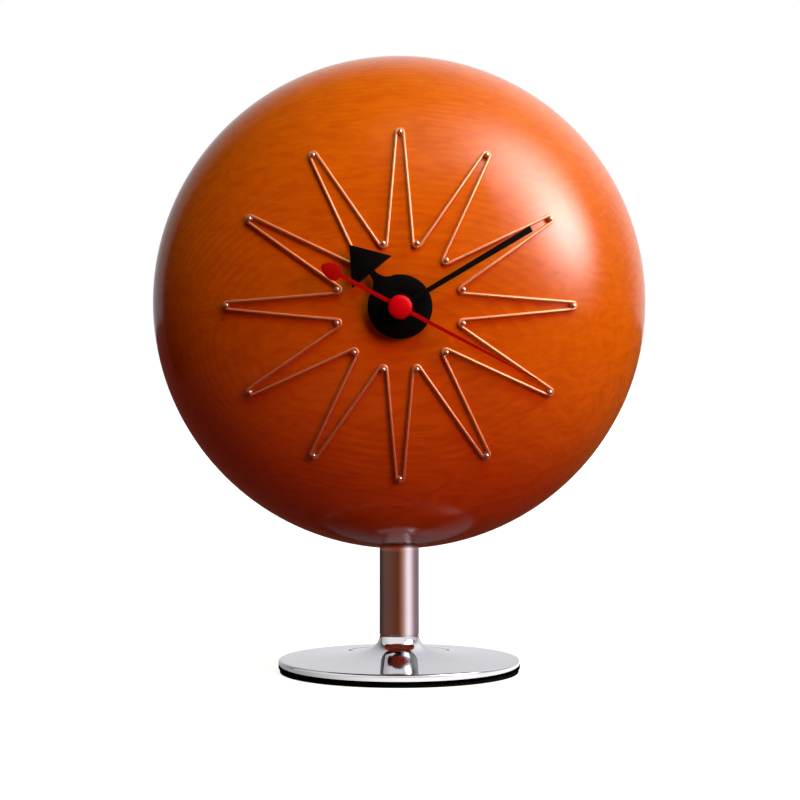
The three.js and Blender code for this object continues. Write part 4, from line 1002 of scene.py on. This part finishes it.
def lacquered_wood():
    """Flat-sawn wood whose rings lie across the clock, so that turning bares them as ovals, under lacquer."""
    body = bpy.context.scene.clock_body
    wood = Finish("Lacquered wood")
    heart = (0, body.heart_ahead, body.heart_below - CENTRE_HEIGHT)
    from_heart = wood.stretched((1, 1, 1), heart)
    waves_per_unit = tau / 20
    rings = wood.node(
        "TexWave",
        {"Vector": from_heart, "Scale": waves_per_unit / body.ring_spacing, "Distortion": 14.0, "Detail": 3.0,
         "Detail Scale": 0.05, "Detail Roughness": 0.6},
        wave_type="RINGS", rings_direction="X", wave_profile="SAW").outputs["Fac"]
    patches = wood.noise(30, 3)
    figure = wood.noise(1, 3, wood.stretched((55, 150, 190)), distortion=2.2)
    fibre = wood.noise(1, 4, wood.stretched((60, 380, 620)), distortion=1.2)
    cloud = wood.noise(17, 4)
    ring_share = wood.times(wood.ranged(rings, 0.35, 1.0), wood.ranged(patches, 0.42, 0.68, 0.0, 0.5))
    base = wood.mixed(wood.ranged(cloud, 0.3, 0.75), body.light_wood, darker(body.light_wood, 0.86))
    ringed = wood.mixed(ring_share, base, body.deep_wood)
    figured = wood.mixed(wood.ranged(figure, 0.4, 0.7, 0.0, 0.45), ringed, body.deep_wood)
    streaked = wood.mixed(wood.ranged(fibre, 0.45, 0.75, 0.0, 0.3), figured, body.deep_wood)
    cells = wood.node(
        "TexVoronoi", {"Vector": wood.stretched((28, 60, 60)), "Scale": 1.0, "Randomness": 1.0})
    speck = wood.ranged(cells.outputs["Distance"], 0.03, 0.07, 0.5, 0.0)
    chosen = wood.ranged(cells.outputs["Color"], 0.6, 0.64)
    flecked = wood.mixed(wood.times(speck, chosen), streaked, darker(body.deep_wood, 0.35))
    wood.shade(
        base_color=flecked, roughness=wood.ranged(fibre, 0.3, 0.7, 0.38, 0.5),
        normal=wood.bump(fibre, 0.02 * MM, 0.3), specular_ior_level=0.03, specular_tint=(1, 0.55, 0.03),
        coat_weight=1.0, coat_roughness=body.lacquer_roughness, coat_ior=1.5,
        sheen_weight=0.1, sheen_roughness=0.4, sheen_tint=(1, 0.62, 0.06))
    return wood.material


def polished_metal(name, tone, low, high, scale, metallic=1.0):
    """Polished metal with faint smears and hairlines in its gloss, from a low roughness to a high one."""
    metal = Finish(name)
    smear = metal.noise(scale, 4)
    hairline = metal.noise(1, 2, metal.stretched((900, 900, 5000)))
    gloss = metal.mixed(0.3, smear, hairline)
    metal.shade(
        base_color=metal.mixed(metal.ranged(smear, 0.3, 0.7), tone, darker(tone, 0.93)), metallic=metallic,
        roughness=metal.ranged(gloss, 0.3, 0.7, low, high))
    return metal.material


def worked_metal(name, tone, roughness, stretch):
    """Plain worked metal with tool marks."""
    metal = Finish(name)
    marks = metal.noise(1, 3, metal.stretched(stretch))
    stain = metal.noise(160, 3)
    metal.shade(
        base_color=metal.mixed(metal.ranged(stain, 0.3, 0.7), tone, darker(tone, 0.75)), metallic=1.0,
        roughness=metal.ranged(marks, 0.3, 0.7, 0.7 * roughness, 1.3 * roughness),
        normal=metal.bump(marks, 0.02 * MM, 0.4))
    return metal.material


def grained(name, tone, roughness, grain, depth, spread=0.75, gloss=0.5):
    """Paint, plastic or rubber with a fine grain and slight changes of tone."""
    skin = Finish(name)
    fine = skin.noise(grain, 3)
    broad = skin.noise(60, 2)
    skin.shade(
        base_color=skin.mixed(skin.ranged(broad, 0.3, 0.7), tone, darker(tone, spread)),
        roughness=skin.ranged(fine, 0.3, 0.7, 0.85 * roughness, 1.15 * roughness),
        normal=skin.bump(fine, depth, 0.5), specular_ior_level=gloss)
    return skin


def copper_winding():
    """Turns of enamelled wire side by side, darkened in the grooves between them as painted shade."""
    winding = Finish("Copper winding")
    turns = winding.node(
        "TexWave", {"Vector": winding.object, "Scale": 900.0, "Distortion": 0.4},
        bands_direction="X").outputs["Fac"]
    tone = (0.46, 0.14, 0.05)
    # The tone falls to a third in the grooves between the turns: painted shade.
    winding.shade(
        base_color=winding.mixed(turns, darker(tone, 0.35), tone), metallic=0.8,
        roughness=winding.ranged(turns, 0, 1, 0.5, 0.28), normal=winding.bump(turns, 0.08 * MM, 0.8))
    return winding.material


def board_laminate():
    """Green solder mask over a woven laminate."""
    mask = (0.014, 0.10, 0.035)
    board = grained("Board laminate", mask, roughness=0.4, grain=900, depth=0.02 * MM)
    weave = board.node(
        "TexChecker",
        {"Vector": board.object, "Scale": 1600.0, "Color1": mask, "Color2": (0.010, 0.075, 0.027)})
    board.shade(base_color=weave.outputs["Color"], coat_weight=0.4, coat_roughness=0.2)
    return board.material


def battery_jacket():
    """A plain printed jacket with a pale band towards the positive end."""
    movement = bpy.context.scene.clock_movement
    tone = tuple(movement.jacket)
    jacket = grained("Battery jacket", tone, roughness=0.28, grain=1500, depth=0.01 * MM)
    band_start = movement.band_start
    band = jacket.ranged(jacket.along("X"), band_start, band_start + movement.band_edge)
    scuff = jacket.ranged(jacket.noise(220, 5), 0.55, 0.8, 0.0, 0.15)
    printed = jacket.mixed(band, tone, (0.42, 0.43, 0.45))
    jacket.shade(
        base_color=jacket.mixed(scuff, printed, (0.2, 0.2, 0.21)), metallic=0.35, coat_weight=0.5,
        coat_roughness=0.12)
    return jacket.material


def painted_hand(name, tone, roughness, coat):
    """Thin paint on a stamped hand."""
    paint = grained(name, tuple(tone), roughness, grain=1400, depth=0.015 * MM, spread=0.85)
    paint.shade(specular_ior_level=0.1, coat_weight=coat, coat_roughness=0.25)
    return paint.material


FINISHES = {
    "lacquered_wood": lacquered_wood,
    "chrome": lambda: polished_metal(
        "Chrome", tuple(bpy.context.scene.clock_stand.chrome), low=0.02, high=0.06, scale=90),
    # Nickel wire whose orange-pink tone is partly a painted reflection of the wood.
    "nickel_wire": lambda: polished_metal(
        "Nickel", tuple(bpy.context.scene.clock_dial.nickel_with_painted_reflection), low=0.4, high=0.5, scale=400, metallic=0.45),
    # The pin heads' warm tone is partly metal and partly a painted reflection of the orange wood.
    "pin_head_with_painted_reflection": lambda: polished_metal(
        "Pin", (0.95, 0.72, 0.5), low=0.26, high=0.34, scale=400, metallic=0.75),
    "steel": lambda: worked_metal("Steel", (0.40, 0.40, 0.41), roughness=0.32, stretch=(300, 300, 1800)),
    "brass": lambda: worked_metal("Brass", (0.55, 0.36, 0.12), roughness=0.28, stretch=(1500, 1500, 400)),
    "copper_winding": copper_winding,
    "foot_rubber": lambda: grained(
        "Foot rubber", (0.0025, 0.0023, 0.0022), roughness=0.85, grain=1800, depth=0.05 * MM,
        gloss=0.1).material,
    "case_plastic": lambda: grained(
        "Black plastic", tuple(bpy.context.scene.clock_movement.case), roughness=0.5, grain=2200,
        depth=0.04 * MM).material,
    "wheel_plastic": lambda: grained(
        "Wheel plastic", (0.70, 0.68, 0.62), roughness=0.4, grain=1100, depth=0.02 * MM,
        spread=0.9).material,
    "board_laminate": board_laminate,
    "battery_jacket": battery_jacket,
    "black_hand": lambda: painted_hand(
        "Black paint", bpy.context.scene.clock_hands.black, roughness=0.5, coat=0.0),
    "red_hand": lambda: painted_hand(
        "Red paint", bpy.context.scene.clock_hands.red, roughness=0.45, coat=0.0),
    "red_cap": lambda: painted_hand(
        "Red enamel", bpy.context.scene.clock_hands.cap_red, roughness=0.35, coat=0.1),
}
MADE_FINISHES = {}


def finish_of(slot):
    """The material of a slot, made the first time that it is asked for."""
    if slot not in MADE_FINISHES:
        MADE_FINISHES[slot] = FINISHES[slot]()
    return MADE_FINISHES[slot]


class CLOCK_OT_stage(bpy.types.Operator):
    """Set the camera, the pale floor, the lights and the boards that polished faces mirror"""

    bl_idname = "clock.stage"
    bl_label = "Stage"

    board_sides = 64
    wall_steps = 48

    def execute(self, context):
        scene = context.scene
        stage = scene.clock_stage
        scene.view_settings.view_transform = "Standard"
        self.add_camera(scene, stage)
        self.light_room(scene, stage)
        self.add_floor(stage)
        self.add_table()
        self.add_lip()
        self.add_white_boards()
        self.add_underside()
        self.add_sheet()
        self.add_surround(stage)
        self.add_lamps(stage)
        return {"FINISHED"}

    def add_camera(self, scene, stage):
        data = bpy.data.cameras.new("photo_camera")
        data.lens = stage.camera_lens
        camera = add_object("photo_camera", data)
        camera.location = (stage.camera_side, -stage.camera_distance, stage.camera_height)
        camera.rotation_euler = (pi / 2 - stage.camera_pitch, 0, -stage.camera_yaw)
        scene.camera = camera

    def background_rays(self, tree):
        """One for a ray that shows the background: from the camera, or by way of metal or glass."""
        rays = tree.nodes.new("ShaderNodeLightPath")
        total = rays.outputs["Is Camera Ray"]
        for kind in ("Is Glossy Ray", "Is Transmission Ray"):
            either = tree.nodes.new("ShaderNodeMath")
            either.operation = "MAXIMUM"
            tree.links.new(total, either.inputs[0])
            tree.links.new(rays.outputs[kind], either.inputs[1])
            total = either.outputs[0]
        return total

    def light_room(self, scene, stage):
        scene.world = bpy.data.worlds.new("room")
        scene.world.use_nodes = True
        tree = scene.world.node_tree
        room = tree.nodes["Background"]
        mix = tree.nodes.new("ShaderNodeMix")
        mix.data_type = "RGBA"
        tree.links.new(self.background_rays(tree), mix.inputs[0])
        mix.inputs[6].default_value = (*stage.ambient, 1)
        mix.inputs[7].default_value = (1, 1, 1, 1)
        tree.links.new(mix.outputs[2], room.inputs["Color"])

    def add_stage_mesh(self, name, bm, material):
        mesh = bpy.data.meshes.new(name)
        bm.to_mesh(mesh)
        bm.free()
        mesh.materials.append(material)
        made = add_object(name, mesh)
        return made

    def add_floor(self, stage):
        """A floor that shows white and keeps the clock's shadow."""
        pale = Finish("Pale floor")
        fade = pale.ranged(pale.away(), *FLOOR_FADE, FLOOR_NEAR, 1.0)
        pale.shade(
            base_color=stage.floor_colour, roughness=0.9, specular_ior_level=0.0, emission_color=(1, 1, 1),
            emission_strength=pale.times(self.background_rays(pale.tree), fade))
        bm = bmesh.new()
        bmesh.ops.create_grid(bm, x_segments=1, y_segments=1, size=stage.floor_size)
        floor = self.add_stage_mesh("floor", bm, pale.material)
        floor.visible_diffuse = False

    def add_board(self, name, bm, glow, *pieces):
        """A board that shows only in polish, and only in the pieces that are named, if any are."""
        board = self.add_stage_mesh(name, bm, glow.material)
        for rays in ("camera", "diffuse", "shadow", "transmission", "volume_scatter"):
            setattr(board, f"visible_{rays}", False)
        if pieces:
            lit = bpy.data.collections.new(f"lit_by_{name}")
            for piece in pieces:
                lit.objects.link(bpy.data.objects[piece])
            board.light_linking.receiver_collection = lit
        return board

    def disc(self, radius, height):
        bm = bmesh.new()
        bmesh.ops.create_circle(bm, cap_ends=True, radius=radius, segments=self.board_sides)
        bmesh.ops.translate(bm, verts=bm.verts, vec=(0, 0, height))
        return bm

    def add_table(self):
        """A board on the floor for the chrome: dark at the left, warm in front and white at the right."""
        glow = Glow("Warm board")
        axes = glow.node("SeparateXYZ", {0: glow.object}).outputs
        backwards = glow.times(axes["Y"], -1.0)
        bearing = glow.node("Math", {0: axes["X"], 1: backwards}, operation="ARCTAN2").outputs["Value"]
        ramp = glow.node("ValToRGB", {"Fac": glow.ranged(bearing, -pi, pi)})
        stops = ramp.color_ramp.elements
        while len(stops) < len(BOARD_TONES):
            stops.new(1.0)
        for stop, (degrees_right, tone) in zip(stops, BOARD_TONES):
            stop.position = 0.5 + degrees_right / 360
            stop.color = (*tone, 1)
        level = glow.ranged(glow.away(), *TABLE_FADE, 0.0, BOARD_BRIGHTNESS)
        glow.shine(ramp.outputs["Color"], level)
        table = self.disc(TABLE_RADIUS, TABLE_LIFT)
        self.add_board("warm_board", table, glow, "chrome_stem", "chrome_foot")

    def add_lip(self):
        """A low white ring round the foot, dim at the left, for the foot's edge."""
        glow = Glow("White lip")
        glow.shine(LIP_TONE, glow.ranged(glow.along("X"), -LIP_RADIUS, 0.0, *LIP_LEVELS))
        bm = bmesh.new()
        bmesh.ops.create_circle(bm, radius=LIP_RADIUS, segments=self.board_sides)
        raised = bmesh.ops.extrude_edge_only(bm, edges=bm.edges)
        top = [part for part in raised["geom"] if isinstance(part, bmesh.types.BMVert)]
        bmesh.ops.translate(bm, verts=top, vec=(0, 0, LIP_HEIGHT))
        bmesh.ops.translate(bm, verts=bm.verts, vec=(0, 0, BOARD_LIFT))
        self.add_board("white_lip", bm, glow, "chrome_foot")

    def add_white_boards(self):
        """White walls in front and at the right, and a white sheet behind, for the foot alone."""
        glow = Glow("White board")
        glow.shine(WHITE_TONE, glow.ranged(glow.along("Y"), *WHITE_FADE, *WHITE_LEVELS))
        for name, (start, end, height) in WALLS.items():
            self.add_board(name, self.wall(radians(start), radians(end), height), glow, "chrome_foot")
        bm = bmesh.new()
        bmesh.ops.create_grid(bm, x_segments=1, y_segments=1, size=0.5)
        bmesh.ops.scale(bm, verts=bm.verts, vec=(BACK_WIDTH, BACK_LENGTH, 1))
        bmesh.ops.translate(bm, verts=bm.verts, vec=(0, BACK_MIDDLE, BOARD_LIFT))
        self.add_board("back_sheet", bm, glow, "chrome_foot")

    def wall(self, start, end, height):
        """An upright wall round the foot from one bearing to another, above what the stem mirrors."""
        bm = bmesh.new()
        first = polar(WALL_RADIUS, start)
        low = bm.verts.new((first.x, -first.y, WALL_FOOT))
        high = bm.verts.new((first.x, -first.y, height))
        edge = bm.edges.new((low, high))
        bmesh.ops.spin(
            bm, geom=[low, high, edge], axis=(0, 0, 1), angle=end - start, steps=self.wall_steps)
        return bm

    def add_underside(self):
        """A brown disc under the body, where the chrome mirrors wood that a pale table would light."""
        glow = Glow("Brown board")
        glow.shine(BROWN_TONE, 1.0, clear=True)
        disc = self.disc(DISC_RADIUS, CENTRE_HEIGHT - BODY_RADIUS - DISC_GAP)
        self.add_board("brown_disc", disc, glow, "chrome_foot", "chrome_stem")

    def add_sheet(self):
        """A clear sheet over the floor's boards that gives the lacquer a dim warm table to mirror."""
        glow = Glow("Warm sheet")
        glow.shine(SHEET_TONE, 1.0, clear=True)
        sheet = self.disc(SHEET_RADIUS, SHEET_LIFT)
        self.add_board("warm_sheet", sheet, glow, "wooden_front", "wooden_back")

    def add_surround(self, stage):
        """A dome for all polish, dimmer where polish mirrors it by way of other polish."""
        glow = Glow("Surround")
        depth = glow.node("LightPath").outputs["Glossy Depth"]
        mirrored = glow.ranged(depth, 1.0, 2.0, 1.0, SECOND_MIRROR)
        glow.shine(ROOM_TONE, glow.times(mirrored, self.surround_level(glow, stage)))
        bm = bmesh.new()
        bmesh.ops.create_uvsphere(bm, u_segments=64, v_segments=32, radius=DOME_RADIUS)
        dome = self.add_board("surround", bm, glow)
        dome.location = (0, 0, CENTRE_HEIGHT)

    def surround_level(self, glow, stage):
        """Brightness of the surround: dark at the camera, pale behind, with a soft box at the upper right."""
        direction = glow.node("VectorMath", {0: glow.object}, operation="NORMALIZE").outputs["Vector"]
        axes = glow.node("SeparateXYZ", {0: direction}).outputs
        behind = glow.ranged(axes["Y"], *BACKDROP_FADE, 0.0, stage.backdrop, "SMOOTHSTEP")
        rightwards = glow.ranged(axes["X"], *LEFT_FADE, LEFT_SHARE, 1.0, "SMOOTHSTEP")
        backdrop = glow.plus(
            glow.times(behind, rightwards), self.patch(glow, direction, BACK_PATCH, stage.backdrop))
        soft_box = glow.plus(
            self.patch(glow, direction, SIDE_PATCH, stage.soft_box),
            self.patch(glow, direction, UPPER_PATCH, stage.soft_box))
        past_edge = glow.facing(direction, SOFT_BOX_EDGE)
        box = glow.times(soft_box, glow.ranged(past_edge, *SOFT_BOX_FADE, 1.0, 0.0, "SMOOTHSTEP"))
        return glow.plus(glow.plus(backdrop, box), stage.room_level)

    def patch(self, glow, direction, patch, brightness):
        """A round patch of light about a direction."""
        middle, sharpness, share = patch
        facing = glow.facing(direction, Vector(middle).normalized())
        ahead = glow.node("Math", {0: facing, 1: 0.0}, operation="MAXIMUM").outputs["Value"]
        fall = glow.node("Math", {0: ahead, 1: sharpness}, operation="POWER").outputs["Value"]
        return glow.times(fall, share * brightness)

    def add_lamps(self, stage):
        for name, (towards, distance, size, power, tone) in LAMPS.items():
            light = bpy.data.lights.new(name, "AREA")
            light.shape = "DISK"
            light.size = size
            light.energy = getattr(stage, power)
            light.color = tone
            lamp = add_object(name, light)
            lamp.location = Vector((0, 0, CENTRE_HEIGHT)) + distance * Vector(towards)
            lamp.rotation_euler = Vector(towards).to_track_quat("Z", "Y").to_euler()
            lamp.visible_glossy = False
            lamp.visible_camera = False


class CLOCK_PT_panel(bpy.types.Panel):
    """Lists the pieces of the clock in the order in which they are made"""

    bl_idname = "CLOCK_PT_panel"
    bl_label = "Clock"
    bl_space_type = "VIEW_3D"
    bl_region_type = "UI"
    bl_category = "Clock"

    def draw(self, context):
        for operator in OPERATORS:
            self.layout.operator(operator.bl_idname)


SETTINGS = {
    "clock_body": BodySettings,
    "clock_stand": StandSettings,
    "clock_dial": DialSettings,
    "clock_hands": HandSettings,
    "clock_movement": MovementSettings,
    "clock_stage": StageSettings,
}
OPERATORS = (
    CLOCK_OT_inner_works, CLOCK_OT_front_shell, CLOCK_OT_rear_shell, CLOCK_OT_stand,
    CLOCK_OT_dial_wire, CLOCK_OT_dial_pins, CLOCK_OT_hour_hand, CLOCK_OT_minute_hand,
    CLOCK_OT_second_hand, CLOCK_OT_movement, CLOCK_OT_battery, CLOCK_OT_stage)


def register():
    for name, group in SETTINGS.items():
        bpy.utils.register_class(group)
        setattr(bpy.types.Scene, name, PointerProperty(type=group))
    for operator in OPERATORS:
        bpy.utils.register_class(operator)
    bpy.utils.register_class(CLOCK_PT_panel)


def unregister():
    bpy.utils.unregister_class(CLOCK_PT_panel)
    for operator in reversed(OPERATORS):
        bpy.utils.unregister_class(operator)
    for name, group in reversed(SETTINGS.items()):
        delattr(bpy.types.Scene, name)
        bpy.utils.unregister_class(group)


def main():
    register()
    bpy.ops.clock.inner_works()
    bpy.ops.clock.front_shell()
    bpy.ops.clock.rear_shell()
    bpy.ops.clock.stand()
    bpy.ops.clock.dial_wire()
    bpy.ops.clock.dial_pins()
    bpy.ops.clock.hour_hand()
    bpy.ops.clock.minute_hand()
    bpy.ops.clock.second_hand()
    bpy.ops.clock.movement()
    bpy.ops.clock.battery()
    bpy.ops.clock.stage()


if __name__ == "__main__":
    main()
